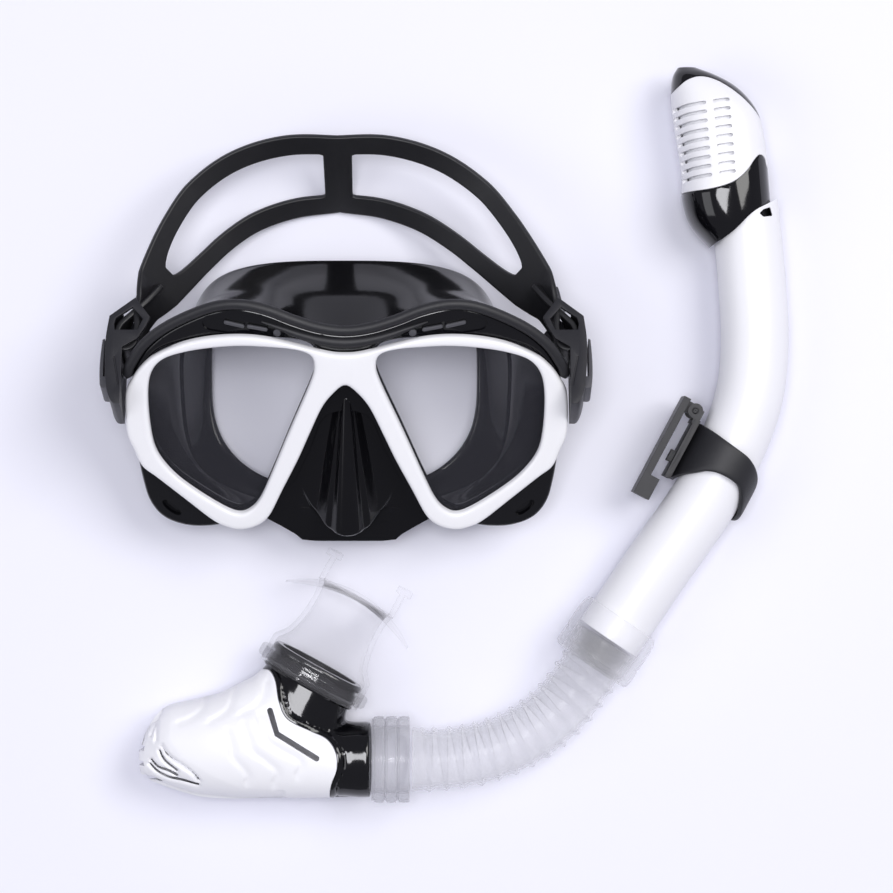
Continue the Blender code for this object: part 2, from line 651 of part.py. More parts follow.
def cut_column(columns, along):
    """A column of the strap between its first two, where the centre bridge ends."""
    first, second = columns[0], columns[1]
    share = along / second[5]
    mixed = [a + (b - a) * share for a, b in zip(first[:5], second[:5])]
    return (*mixed, along)


# ---------------------------------------------------------------- the snorkel
def chamber_ring(section, count):
    x, middle, half_wide, half_deep = section
    return [(x, middle + b, SNORKEL_Z + a) for a, b in super_ring(count, half_deep, half_wide, 2.3)]


def lower_shell():
    rings = [chamber_ring(section, 24) for section in CHAMBER]
    return solidified(loft("chamber", rings, False, True), SHELL_WALL)


def seam(steps, shift=0.0):
    """The wavy seam between the housing and the purge cover, top to bottom."""
    return smooth_line([(x + shift, y + shift * 0.6) for x, y in SEAM], steps)


def snorkel_housing(parent):
    """The smoke-black elbow: a straight stub for the hose, a chamber and the mouthpiece's oval spigot."""
    turn = Matrix.Translation(Vector((SPIGOT_END.x, SPIGOT_END.y, SNORKEL_Z)) * MM) @ \
        Matrix.Rotation(SPIGOT_TURN, 4, "Z") @ Matrix.Rotation(math.pi / 2, 4, "Y")
    wide, deep = SPIGOT_HALF
    outer_ring = super_ring(24, wide, deep, 2.4)
    inner_ring = super_ring(24, wide - SHELL_WALL, deep - SHELL_WALL, 2.4)
    outer = loft("spigot", [[(b, a, h) for a, b in outer_ring] for h in (-24, 0)])
    inner = loft("spigot_bore", [[(b, a, h) for a, b in inner_ring] for h in (-30, 6)])
    made = boolean(lower_shell(), placed(outer, turn), "UNION")
    made = boolean(made, placed(inner, turn), "DIFFERENCE")
    right = [*seam(2, 0.42), Vector((20, -160)), Vector((20, -60))]
    made = boolean(made, plate("right_of_seam", [right], -10, 50), "INTERSECT")
    part(made, "lower_housing", BLACK_GLOSS, parent)


def purge_cover(parent):
    """The white cover over the purge chamber, with its drain slots at the toe and a chevron slot."""
    left = [*seam(2), Vector((-160, -160)), Vector((-160, -60))]
    made = boolean(lower_shell(), plate("left_of_seam", [left], -10, 50), "INTERSECT")
    for k in range(3):
        low = -136.5 + 6.2 * k
        made = boolean(made, box("drain", (-140, low, 12), (-112, low + 2.0, 24)), "DIFFERENCE")
    chevron = [(-72.6, -107.5), (-70.2, -107.5), (-66.8, -114.6),
               (-52, -123.6), (-53.6, -126.2), (-69.2, -117)]
    made = boolean(made, plate("chevron", [[Vector(p) for p in chevron]], 26, 60), "DIFFERENCE")
    part(made, "purge_cover", WHITE_GLOSS, parent)


def purge_valve(parent):
    """A ring seat with a cross, and the soft disc that lifts off it to let water out."""
    base = Vector((-95, -124, SNORKEL_Z))
    seat = turned("seat", [(13.6, 0), (13.6, 2.5), (9.5, 2.5), (9.5, 0)], base, (-1, 0, 0))
    bar = box("bar", (-97, -134.5, SNORKEL_Z - 1.2), (-95.4, -113.5, SNORKEL_Z + 1.2))
    seat = boolean(seat, bar, "UNION")
    bar = box("bar", (-97, -125.2, SNORKEL_Z - 10.5), (-95.4, -122.8, SNORKEL_Z + 10.5))
    seat = boolean(seat, bar, "UNION")
    part(seat, "purge_seat", GREY_PLASTIC, parent)
    disc = rod("disc", base + Vector((-2.8, 0, 0)), base + Vector((-3.8, 0, 0)), 12.0, 20)
    part(disc, "purge_valve", BLACK_SILICONE, parent, base + Vector((-3, 0, 0)))


def hose(parent):
    """The clear hose with its top cuff and the ribbed ring that holds it to the housing."""
    line = smooth_line([Vector((*p, 0)) for p in HOSE_LINE], 2)
    part(bent_tube("hose", line, HOSE_R - 0.6, HOSE_WALL, 16), "flex_hose", CLEAR_SILICONE, parent)
    end = Vector((*TUBE_LINE[-1], SNORKEL_Z))
    direction = (end - Vector((*TUBE_LINE[-2], SNORKEL_Z))).normalized()
    profile = [(TUBE_R + 0.5, -10), (TUBE_R + 0.5, 13), (17.2, 13), (17.6, 11), (17.6, -6), (16.2, -10)]
    part(turned("cuff", profile, end, direction), "hose_cuff", CLEAR_SILICONE, parent)
    profile = [(HOSE_R + GAP, 0), (17.6, 0), (17.6, 4.6), (16.6, 5.2), (17.6, 5.8), (17.6, 10), (16.6, 10.6),
               (17.6, 11.2), (17.6, 15.4), (HOSE_R + GAP, 15.4)]
    coupling = turned("coupling", profile, (-30.6, -128.3, SNORKEL_Z), (1, 0, 0))
    part(coupling, "hose_coupling", CLEAR_PLASTIC, parent)


def mouthpiece(parent):
    """The soft mouthpiece: a sleeve over the spigot, a curved lip guard and two bite tabs."""
    turn = Matrix.Translation(Vector((SPIGOT_END.x, SPIGOT_END.y, SNORKEL_Z)) * MM) @ \
        Matrix.Rotation(SPIGOT_TURN - math.pi / 2, 4, "Z")
    # own axes: X across, Y out towards the mouth, Z up
    sections = [(-9, 22.4, 16.3), (2, 22.4, 16.3), (7, 18.5, 13.5), (20, 16, 10.5), (31, 16.5, 10.5)]
    rings = [[(a, y, b) for a, b in super_ring(24, half, deep, 2.4)] for y, half, deep in sections]
    wall = solidified(loft("sleeve", rings, False, False), 2.2)
    guard = []
    for k in range(13):
        x = -27 + 4.5 * k
        bow = 31 - 7.5 * (x / 27) ** 2
        half = 15.5 * max(0.08, 1 - (x / 28.5) ** 4) ** 0.5
        guard.append([(x, bow - 1.2, -half), (x, bow + 1.2, -half),
                      (x, bow + 1.2, half), (x, bow - 1.2, half)])
    lip = loft("lip_guard", guard)
    bore = loft("bore", [[(a, y, b) for a, b in super_ring(16, 14.3, 8.3, 2.4)] for y in (26, 40)])
    lip = boolean(lip, bore, "DIFFERENCE")
    made = boolean(wall, lip, "UNION")
    for side in (-1, 1):
        tab = sorted((side * 15.0, side * 17.6))
        made = boolean(made, box("tab", (tab[0], 27.5, -7), (tab[1], 43, 7)), "UNION")
        grip = sorted((side * 13, side * 20))
        made = boolean(made, box("grip", (grip[0], 41, -7), (grip[1], 43.5, 7)), "UNION")
    part(placed(made, turn), "mouthpiece", CLEAR_SILICONE, parent, (SPIGOT_END.x, SPIGOT_END.y, SNORKEL_Z))
    outer = [[(a, y, b) for a, b in super_ring(24, 24.0, 17.9, 2.4)] for y in (-7.5, -3.5)]
    inner = [[(a, y, b) for a, b in super_ring(24, 22.7, 16.6, 2.4)] for y in (-9, -2)]
    tie = boolean(loft("tie", outer), loft("tie_bore", inner), "DIFFERENCE")
    part(placed(tie, turn), "mouthpiece_tie", CLEAR_PLASTIC, parent, (SPIGOT_END.x, SPIGOT_END.y, SNORKEL_Z))


def upper_tube(parent):
    line = smooth_line([Vector((*p, 0)) for p in TUBE_LINE], 2)
    tube = bent_tube("tube", line, TUBE_R, TUBE_WALL, 20)
    above = smooth_line([(x, y - GAP) for x, y in COLLAR], 2)
    above += [Vector((160, 105)), Vector((160, 140)), Vector((90, 140)), Vector((90, 75.3))]
    part(boolean(tube, plate("above", [above], -10, 50), "DIFFERENCE"), "upper_tube", WHITE_TUBE, parent)


def dry_shell():
    rings = [[(middle + a, y, SNORKEL_Z + b) for a, b in super_ring(24, half, deep, 2.4)]
             for y, middle, half, deep in DRY_TOP]
    return solidified(loft("dry_top", rings, False, True), SHELL_WALL)


def dry_top(parent):
    """The dry top: a black socket plugged into the tube, the white vented cap and the black crown."""
    rim = [(86, 103.2), (99, 103.4), (108, 104.4), (116, 107), (122, 112.6), (126.5, 118.4), (129.5, 120.4),
           (140, 117.6)]
    crown = [(86, 142), (92.6, 145), (98, 149.2), (104, 150.6), (111, 148.4), (119, 143), (125, 137.4),
             (134, 131)]
    rim, crown = smooth_line(rim, 2), smooth_line(crown, 2)
    collar = smooth_line(COLLAR, 2)
    below = [*rim, Vector((150, 117)), Vector((150, 109)), *reversed(collar), Vector((80, 75.6)),
             Vector((80, 103.2))]
    above = [*crown, Vector((150, 131)), Vector((150, 170)), Vector((80, 170)), Vector((80, 142))]
    step = Vector((0, GAP))
    between = [Vector((80, 103.2)) + step, *(p + step for p in rim), Vector((150, 117)) + step,
               Vector((150, 131)) - step, *(p - step for p in reversed(crown)), Vector((80, 142)) - step]
    base = boolean(dry_shell(), plate("below", [below], -10, 50), "INTERSECT")
    base = boolean(base, rod("deck", (118.2, 99.4, SNORKEL_Z), (117.9, 102.4, SNORKEL_Z), 14.8, 20), "UNION")
    along = (Vector(TUBE_LINE[0]) - Vector(TUBE_LINE[1])).normalized()
    foot, head = Vector(TUBE_LINE[0]) - along * 20, Vector(TUBE_LINE[0]) - along * 3
    plug_r = TUBE_R - TUBE_WALL - 0.8
    base = boolean(base, rod("plug", (*foot, SNORKEL_Z), (*head, SNORKEL_Z), plug_r, 20), "UNION")
    foot, head = foot - along * 9, head + along * 9
    bore = rod("bore", (*foot, SNORKEL_Z), (*head, SNORKEL_Z), plug_r - 1.5, 20)
    part(boolean(base, bore, "DIFFERENCE"), "dry_top_socket", BLACK_GLOSS, parent)
    cap = boolean(dry_shell(), plate("middle", [between], -10, 50), "INTERSECT")
    for row in range(9):
        y = 109.3 + 3.8 * row
        x = 106.9 - 0.25 * row
        cap = boolean(cap, box("vent", (x - 20, y, 21), (x, y + 1.4, 50)), "DIFFERENCE")
        cap = boolean(cap, box("vent", (x + 3.2, y + 0.6, 28), (x + 9.8, y + 2.0, 50)), "DIFFERENCE")
    part(cap, "vent_cap", WHITE_GLOSS, parent)
    crown_part = boolean(dry_shell(), plate("over", [above], -10, 50), "INTERSECT")
    part(crown_part, "cap_crown", BLACK_GLOSS, parent)


def float_valve(parent):
    """The float and the flap it swings up to shut the tube when water rises."""
    axis = Vector((-0.1, 1, 0)).normalized()
    foot = Vector((112.4, 111.5, SNORKEL_Z))
    part(turned("float", [(4, 0), (11.6, 0), (12.4, 1), (12.4, 16), (11.6, 17), (4, 17)], foot, axis, 18),
         "float", WHITE_TUBE, parent, foot)
    hinge = Vector((103.6, 107.0, SNORKEL_Z))
    reach = Vector((0, 0, 7))
    flap = box("flap", (103.4, 106.2, SNORKEL_Z - 7), (124, 107.8, SNORKEL_Z + 7))
    flap = boolean(flap, rod("barrel", hinge - reach, hinge + reach, 2.1, 14), "UNION")
    hole = rod("hole", hinge - reach * 1.3, hinge + reach * 1.3, 1.0 + RUN, 12)
    part(boolean(flap, hole, "DIFFERENCE"), "valve_flap", GREY_PLASTIC, parent, hinge)
    part(rod("pin", hinge - reach * 1.3, hinge + reach * 1.3, 1.0, 12), "flap_pin", STEEL, parent, hinge)
    pad = rod("pad", (116.2, 105.9, SNORKEL_Z), (116.2, 104.4, SNORKEL_Z), 6.6, 18)
    part(pad, "flap_seal", BLACK_SILICONE, parent, hinge)


def keeper(parent):
    """The keeper on the tube: a split ring with a plate, and the hinged gate that shuts on the strap."""
    move = Matrix.Translation(Vector((KEEPER_AT.x, KEEPER_AT.y, SNORKEL_Z)) * MM) @ \
        Matrix.Rotation(KEEPER_TURN - math.pi / 2, 4, "Z")
    # own axes: Y up the tube, X to the right of it, Z up
    profile = [(TUBE_R + 0.7, -8.5), (KEEPER_R, -8.5), (KEEPER_R, 8.5), (TUBE_R + 0.7, 8.5)]
    ring = turned("ring", profile, (0, 0, 0), (0, 1, 0), 24)
    ring = boolean(ring, box("slot", (4, -20, -20), (20, 20, -4)), "DIFFERENCE")
    ring = boolean(ring, box("plate", (-19.2, -12, -9), (-16.8, 14, 9)), "UNION")
    ring = boolean(ring, box("catch", (-21.4, -6, -3.6), (-19, -1, 3.6)), "UNION")
    barrel = Vector((-20.6, 17.0, 0))
    ears = rod("ears", barrel - Vector((0, 0, 9)), barrel + Vector((0, 0, 9)), 3.1, 14)
    ears = boolean(ears, box("arm", (-20, 12, -9), (-17.2, 18.4, 9)), "UNION")
    ears = boolean(ears, box("ear_gap", (-28, 13.2, -6.3), (-17, 24, 6.3)), "DIFFERENCE")
    ring = boolean(ring, ears, "UNION")
    hole = lambda: rod("hole", barrel - Vector((0, 0, 14)), barrel + Vector((0, 0, 14)), 1.2 + RUN, 12)
    ring = boolean(ring, hole(), "DIFFERENCE")
    at = (move @ (barrel * MM)) / MM
    part(placed(ring, move), "keeper_ring", BLACK_MATTE, parent, (KEEPER_AT.x, KEEPER_AT.y, SNORKEL_Z))
    gate = box("gate", (-27.4, -24, -9), (-24.4, 20.4, 9))
    gate = boolean(gate, box("gate_end", (-27, -24, -9), (-20.4, -14.5, 9)), "UNION")
    gate = boolean(gate, box("gate_arm", (-26, 15, -6), (-20.6, 19.6, 6)), "UNION")
    eye = rod("gate_eye", barrel - Vector((0, 0, 6)), barrel + Vector((0, 0, 6)), 2.3, 14)
    gate = boolean(gate, eye, "UNION")
    gate = boolean(gate, hole(), "DIFFERENCE")
    part(placed(gate, move), "keeper_gate", BLACK_MATTE, parent, at)
    pin = rod("pin", barrel - Vector((0, 0, 9.6)), barrel + Vector((0, 0, 9.6)), 1.2, 12)
    part(placed(pin, move), "keeper_pin", STEEL, parent, at)


def main():
    mask = empty("mask_axes", MASK_CENTRE + SET_SHIFT, (MASK_TILT, 0, 0))
    mask_skirt(mask)
    mask_frame(mask)
    mask_bezel(mask)
    mask_windows(mask)
    brow_bead(mask)
    pivot_line = Vector((0, PIVOT_Y, PIVOT_Z))
    world = Matrix.Rotation(MASK_TILT, 3, "X") @ pivot_line + MASK_CENTRE + SET_SHIFT
    loop = empty("strap_axes", world, (-LOOP_DROP, 0, 0))
    for side in (1, -1):
        buckle(side, loop)
    strap(loop)
    snorkel = empty("snorkel_axes", SET_SHIFT, (0, 0, 0))
    snorkel_housing(snorkel)
    purge_cover(snorkel)
    purge_valve(snorkel)
    hose(snorkel)
    mouthpiece(snorkel)
    upper_tube(snorkel)
    dry_top(snorkel)
    float_valve(snorkel)
    keeper(snorkel)


main()
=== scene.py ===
"""Looks of the snorkel mask set: smooth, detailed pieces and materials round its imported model.

Lengths are in millimetres in each assembly's own axes, and each mesh is turned into metres as it is made.
"""
import json
import math

import bmesh
import bpy
import numpy as np
from mathutils import Matrix, Vector


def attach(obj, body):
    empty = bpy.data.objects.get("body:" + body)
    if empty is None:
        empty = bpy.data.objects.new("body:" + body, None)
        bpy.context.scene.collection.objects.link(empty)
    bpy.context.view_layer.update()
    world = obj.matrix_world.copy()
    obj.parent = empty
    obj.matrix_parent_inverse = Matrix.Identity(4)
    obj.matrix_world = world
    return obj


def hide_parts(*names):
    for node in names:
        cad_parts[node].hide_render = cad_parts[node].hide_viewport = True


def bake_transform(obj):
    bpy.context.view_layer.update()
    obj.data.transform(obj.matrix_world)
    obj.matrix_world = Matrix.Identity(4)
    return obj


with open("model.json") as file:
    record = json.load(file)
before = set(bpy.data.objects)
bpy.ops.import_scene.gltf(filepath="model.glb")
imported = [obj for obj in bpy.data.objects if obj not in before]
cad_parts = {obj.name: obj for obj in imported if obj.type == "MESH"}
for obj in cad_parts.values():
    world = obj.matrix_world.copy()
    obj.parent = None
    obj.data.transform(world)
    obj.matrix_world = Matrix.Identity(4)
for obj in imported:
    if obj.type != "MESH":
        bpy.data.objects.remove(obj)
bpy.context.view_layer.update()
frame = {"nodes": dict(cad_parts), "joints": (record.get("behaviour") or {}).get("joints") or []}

MM = 0.001
JOINTS = {joint["name"]: joint for joint in frame["joints"]}

# ---------------------------------------------------------------- assembly axes, read from the joints
MASK_TILT = math.radians(27)                # the windows lean this far towards -Y
LOOP_DROP = math.radians(22.7)              # the strap's loop slopes down to the surface by this
PIVOT = Vector((91.2, 20.0, -14.0))         # the left buckle's pivot in the mask's own axes
SWIVEL = Vector(JOINTS["strap_swivel"]["pos_m"]) / MM
MASK_TURN = Matrix.Rotation(MASK_TILT, 4, "X")
MASK_ORIGIN = SWIVEL - (MASK_TURN @ Vector((0, PIVOT.y, PIVOT.z)))
MASK_AXES = Matrix.Translation(MASK_ORIGIN) @ MASK_TURN
LOOP_AXES = Matrix.Translation(SWIVEL) @ Matrix.Rotation(-LOOP_DROP, 4, "X")
HOSE_MIDDLE = Vector((29.0, -120.0, 18.0))  # the hose's bending point in the snorkel's own axes
SET_SHIFT = Vector(JOINTS["hose_bend"]["pos_m"]) / MM - HOSE_MIDDLE
SNORKEL_AXES = Matrix.Translation(SET_SHIFT)
SNORKEL_Z = HOSE_MIDDLE.z

# ---------------------------------------------------------------- sizes
SWEEP = math.tan(math.radians(7))           # the front sweeps back this much per millimetre of width
BEZEL_FRONT = 3.4
WINDOW_FRONT, WINDOW_BACK = -0.6, -4.6
WEB_TOP, WEB_THICK = -5.6, 2.3
SKIRT_WALL = 2.0
RIM_HALF_WIDTH, RIM_TOP, RIM_BOTTOM = 64.5, 50.0, -44.0
FOREHEAD_LIFT, LIP_LIFT = 26.0, 11.0
SKIRT_LEAN = -2.6                           # the soft skirt leans to one side by this at its rear edge
STRAP_THICK = 2.4
ROLLER_R = 2.4
ROLLER_AT = Vector((-3.2, 11.5))
TUBE_R, TUBE_WALL = 13.8, 1.8
HOSE_R = 13.2
STUB_Y = -128.3                             # the line of the housing's hose stub
THROUGH = (-10, 50)                         # heights that go through the whole snorkel
KEEPER_AT = Vector((111.6, -10.2, SNORKEL_Z))
KEEPER_AXES = SNORKEL_AXES @ Matrix.Translation(KEEPER_AT) @ Matrix.Rotation(math.radians(-28), 4, "Z")
BODY_AXES = {"mask": MASK_AXES, "strap_loop": LOOP_AXES, "keeper": KEEPER_AXES,
             "snorkel_lower": SNORKEL_AXES, "snorkel_upper": SNORKEL_AXES}
SPIGOT_END = Vector((-52.0, -89.0, SNORKEL_Z))
SPIGOT_TURN = math.radians(61)
SPIGOT_HALF = (19.5, 13.5)

# Outlines of the mask's front are right halves, from the top centre to the bottom centre.
BEZEL_OUTLINE = [(0, 36.0), (6.7, 36.6), (19.4, 39.8), (30, 42.0), (40.3, 42.6), (52, 41.4), (63.6, 38.3),
                 (74.5, 32.8), (80.4, 27.6), (84.6, 21.6), (87.7, 14.4), (88, -2), (85.4, -10.1),
                 (82.4, -17.3), (76.7, -22), (65.4, -31.4), (55.5, -39.6), (50, -42.6), (43.9, -43.8),
                 (37, -41.8), (31.6, -36.8), (26, -25), (19.4, -11), (14.4, 1), (9.5, 12.2), (5, 18.6),
                 (0, 22.5)]
WINDOW_OUTLINE = [(14.2, 36.0), (12.2, 31.5), (13.6, 24), (22.5, 2), (31, -19.6), (35.4, -29.6),
                  (39.4, -34.4), (44, -36.2), (50.5, -33.8), (61.7, -26.6), (70, -19.6), (76, -11),
                  (78.2, -1), (78.7, 14), (77, 24.2), (72, 30.8), (62.5, 34.6), (51, 37.0), (40, 38.2),
                  (29, 38.2), (20.5, 37.8)]
BROW_LINE = [(0, 45), (10, 46.2), (20, 49.2), (30, 53), (40, 54.9), (50, 53.8), (61, 49.2), (72, 42.6),
             (80, 35.2), (85.2, 26.9), (86.3, 24.2), (87.0, 20.4)]
FRAME_LOWER = [(87, 10), (85, -10), (83.2, -24), (80.5, -35), (75, -42), (66, -45.2), (56, -44.9),
               (47, -42.6), (39.5, -40.6), (34.8, -37.4), (30.4, -32), (25.6, -22), (19.2, -9), (14.2, 2),
               (9.8, 12.6), (5, 19.4), (0, 23.3)]
FACE_OUTLINE = [(0, 41.6), (10, 42.6), (20, 45.6), (30, 49.4), (40, 51.2), (50, 50.1), (61, 45.4), (71, 39.2),
                (78, 32.6), (83, 24), (85, 12), (83, -6), (80.4, -21), (76.6, -31.4), (70, -38), (62, -40.8),
                (40, -42.5), (20, -44), (0, -44.5)]
# the nose notch: height and half width, from its top down
NOTCH_SIDE = [(23.3, 0.8), (17.5, 5.8), (6.4, 11.4), (-8.7, 18.0), (-23.8, 24.8), (-34.9, 30.6),
              (-41.6, 34.0), (-45.3, 28.0), (-49, 22.4), (-51.7, 19.6), (-52.4, 12.0)]
COLLAR = [(100, 75.6), (110.2, 83.3), (117, 88.4), (124.5, 95.6), (132.4, 100.0), (142, 105.3)]
TUBE_LINE = [(121.4, 104), (123.6, 86), (125.4, 65), (126.4, 42), (124.0, 20), (116.2, -1.5),
             (105.2, -22.3), (84.8, -51.5), (66.5, -78.5)]
HOSE_LINE = [(65.5, -80), (55, -96.5), (43.5, -110), (29, -120), (12, -126.2), (-5, -128.3), (-14, -128.3)]
# dry top: y, centre x, half width, half depth
DRY_TOP = [(82, 120.5, 13.0, 13.8), (91, 116.5, 16.6, 16.6), (101, 114.6, 17.9, 17.8),
           (110, 114.2, 17.6, 18.0), (120, 113.1, 17.9, 18.0), (130, 111.5, 17.9, 18.0),
           (137, 109.9, 17.3, 17.4), (143, 107.6, 15.4, 15.6), (148, 104.8, 12.6, 13.0),
           (152, 101.5, 8.6, 9.6), (155, 98.6, 4.0, 5.0)]
# chamber of the snorkel's lower unit: x, centre y, half width in the snorkel's plane, half depth
CHAMBER = [(-31, -128.3, 15.4, 15.4), (-45, -128.0, 15.8, 15.8), (-62, -124.8, 19.2, 17.0),
           (-78, -121.2, 23.0, 17.8), (-90, -122.4, 22.0, 17.8), (-102, -123.4, 20.0, 16.6),
           (-115, -123.0, 16.4, 13.4), (-122, -125.6, 11.0, 9.0), (-125.8, -129.0, 4.8, 5.0)]
SEAM = [(-83, -60), (-79.5, -84), (-76.4, -90.6), (-72.2, -91.2), (-69.6, -95.4), (-68.0, -103.5),
        (-64.6, -110.4), (-55.6, -115.2), (-48.6, -118.6), (-45.0, -124), (-44.6, -131), (-47.4, -139.9),
        (-48, -160)]


# ---------------------------------------------------------------- mesh helpers
def smooth_line(points, steps, cyclic=False):
    """A Catmull-Rom curve through the points, with this many steps to each span."""
    points = [Vector(p) for p in points]
    count = len(points)
    line = []
    for i in range(count if cyclic else count - 1):
        if cyclic:
            a, b, c, d = (points[(i + k) % count] for k in (-1, 0, 1, 2))
        else:
            b, c = points[i], points[i + 1]
            a = points[i - 1] if i else b * 2 - c
            d = points[i + 2] if i + 2 < count else c * 2 - b
        for k in range(steps):
            t = k / steps
            line.append(0.5 * (2 * b + (c - a) * t + (2 * a - 5 * b + 4 * c - d) * t * t
                               + (3 * b - a - 3 * c + d) * t ** 3))
    if not cyclic:
        line.append(points[-1])
    return line


def respaced(line, step, cyclic=False):
    """The line with points at an even spacing close to step."""
    points = [Vector(p) for p in line] + ([Vector(line[0])] if cyclic else [])
    lengths = [0.0]
    for a, b in zip(points, points[1:]):
        lengths.append(lengths[-1] + (b - a).length)
    count = max(3, round(lengths[-1] / step))
    made, i = [], 0
    for k in range(count if cyclic else count + 1):
        at = lengths[-1] * k / count
        while i < len(points) - 2 and lengths[i + 1] < at:
            i += 1
        share = (at - lengths[i]) / max(1e-9, lengths[i + 1] - lengths[i])
        made.append(points[i].lerp(points[i + 1], share))
    return made


def along_at(line, i):
    """The line's direction at one of its points."""
    return (line[min(i + 1, len(line) - 1)] - line[max(i - 1, 0)]).normalized()


def angles_round(count):
    return [2 * math.pi * k / count for k in range(count)]


def both_sides(half):
    """The whole of a line whose right half runs outwards from the middle."""
    return [Vector((-x, y)) for x, y in reversed(half[1:])] + [Vector(p) for p in half]


def mirrored(half):
    """The whole of a closed outline, from its right half."""
    return half + [(-x, y) for x, y in reversed(half[1:-1])]


def flipped(outline):
    return [Vector((-p.x, p.y)) for p in outline]


def outward(outline):
    """Unit vectors across a closed outline, pointing out of it."""
    count = len(outline)
    area = sum(a.x * b.y - b.x * a.y for a, b in zip(outline, outline[1:] + outline[:1]))
    side = 1 if area > 0 else -1
    made = []
    for i in range(count):
        along = (outline[(i + 1) % count] - outline[i - 1]).normalized()
        made.append(side * Vector((along.y, -along.x)))
    return made


def grown(outline, distance):
    """The outline moved outwards by a distance."""
    return [p + distance * n for p, n in zip(outline, outward(outline))]


def super_ring(count, half_a, half_b, power):
    """Points of a rounded rectangle or ellipse as pairs, anticlockwise."""
    ring = []
    for angle in angles_round(count):
        c, s = math.cos(angle), math.sin(angle)
        ring.append((half_a * math.copysign(abs(c) ** (2 / power), c),
                     half_b * math.copysign(abs(s) ** (2 / power), s)))
    return ring


def sweep_at(x):
    """How far the mask's front is swept back at a distance from its middle."""
    return -SWEEP * (math.hypot(x, 24) - 24)


def new_object(name, points, faces):
    mesh = bpy.data.meshes.new(name)
    mesh.from_pydata([Vector(p) * MM for p in points], [], faces)
    return linked(name, mesh)


def linked(name, data):
    obj = bpy.data.objects.new(name, data)
    bpy.context.scene.collection.objects.link(obj)
    return obj


def from_bmesh(bm, name):
    mesh = bpy.data.meshes.new(name)
    bm.to_mesh(mesh)
    bm.free()
    return linked(name, mesh)


def outwards(obj):
    """Merges doubled points and makes every face look out."""
    bm = bmesh.new()
    bm.from_mesh(obj.data)
    bmesh.ops.remove_doubles(bm, verts=bm.verts, dist=1e-6)
    bmesh.ops.recalc_face_normals(bm, faces=bm.faces)
    bm.to_mesh(obj.data)
    bm.free()
    return obj


def baked(obj):
    """Applies the object's modifiers, or turns a curve into a mesh."""
    bpy.context.view_layer.update()
    graph = bpy.context.evaluated_depsgraph_get()
    mesh = bpy.data.meshes.new_from_object(obj.evaluated_get(graph))
    made = linked("baked", mesh)
    made.data.transform(obj.matrix_world)
    bpy.data.objects.remove(obj)
    return made


def loft(rings, close_start=True, close_end=True, cyclic=True):
    """A surface through rings of equally many points."""
    size = len(rings[0])
    points = [p for ring in rings for p in ring]
    faces = []
    for i in range(len(rings) - 1):
        for j in range(size if cyclic else size - 1):
            k = (j + 1) % size
            faces.append((i * size + j, i * size + k, (i + 1) * size + k, (i + 1) * size + j))
    if close_start:
        faces.append(tuple(reversed(range(size))))
    if close_end:
        faces.append(tuple(range((len(rings) - 1) * size, len(rings) * size)))
    return outwards(new_object("loft", points, faces))


def open_loft(rings):
    return loft(rings, False, False)


def ring_loft(rings):
    """A surface through rings that come back to the first one."""
    return open_loft([*rings, rings[0]])


def modify(obj, kind, **settings):
    modifier = obj.modifiers.new(kind.lower(), kind)
    for key, value in settings.items():
        setattr(modifier, key, value)


def solidified(obj, thickness, offset=-1, even=True):
    modify(obj, "SOLIDIFY", thickness=thickness * MM, offset=offset, use_even_offset=even)
    return baked(obj)


def boolean(obj, other, operation):
    """Joins or cuts obj with other, a closed mesh, and uses other up."""
    modify(obj, "BOOLEAN", operation=operation, object=other)
    made = baked(obj)
    bpy.data.objects.remove(other)
    return made


def cut(obj, *others):
    for other in others:
        obj = boolean(obj, other, "DIFFERENCE")
    return obj


def united(obj, *others):
    for other in others:
        obj = boolean(obj, other, "UNION")
    return obj


def bevelled(obj, width, segments=3, angle=32):
    """Rounds the sharp edges of a piece."""
    modify(obj, "BEVEL", width=width * MM, segments=segments, limit_method="ANGLE",
           angle_limit=math.radians(angle), use_clamp_overlap=True)
    return baked(obj)


def box(low, high):
    bm = bmesh.new()
    bmesh.ops.create_cube(bm, size=1)
    low, high = Vector(low) * MM, Vector(high) * MM
    for vertex in bm.verts:
        vertex.co = Vector(vertex.co[i] * (high - low)[i] for i in range(3)) + (low + high) / 2
    return from_bmesh(bm, "box")


def rod(start, end, radius, sides=32):
    start, end = Vector(start) * MM, Vector(end) * MM
    bm = bmesh.new()
    bmesh.ops.create_cone(bm, cap_ends=True, segments=sides, radius1=radius * MM, radius2=radius * MM,
                          depth=(end - start).length)
    turn = (end - start).to_track_quat("Z", "Y").to_matrix().to_4x4()
    bm.transform(Matrix.Translation((start + end) / 2) @ turn)
    return from_bmesh(bm, "rod")


def extruded(outline, low, high):
    """A closed outline made into a straight-sided solid between two heights."""
    return loft([[(p[0], p[1], z) for p in outline] for z in (low, high)])


def pill(line, half, low, high):
    """A slot shape with round ends round a straight line or a bent one, between two heights."""
    line = [Vector(p) for p in line]
    left, right = [], []
    for i, point in enumerate(line):
        along = along_at(line, i)
        across = Vector((-along.y, along.x)) * half
        left.append(point + across)
        right.append(point - across)
    ends = []
    for centre, towards in ((line[-1], line[-1] - line[-2]), (line[0], line[0] - line[1])):
        angle = math.atan2(towards.y, towards.x)
        ends.append([centre + half * Vector((math.cos(angle + a), math.sin(angle + a)))
                     for a in (math.radians(k) for k in range(-60, 61, 20))])
    return extruded([*right, *ends[0], *reversed(left), *ends[1]], low, high)


def turned(profile, base, direction):
    """A lathe's work: profile is a closed loop of (radius, height) about the line from base."""
    turn = Vector(direction).to_track_quat("Z", "Y").to_matrix()
    rings = []
    for angle in angles_round(64):
        c, s = math.cos(angle), math.sin(angle)
        rings.append([Vector(base) + turn @ Vector((r * c, r * s, h)) for r, h in profile])
    return ring_loft(rings)


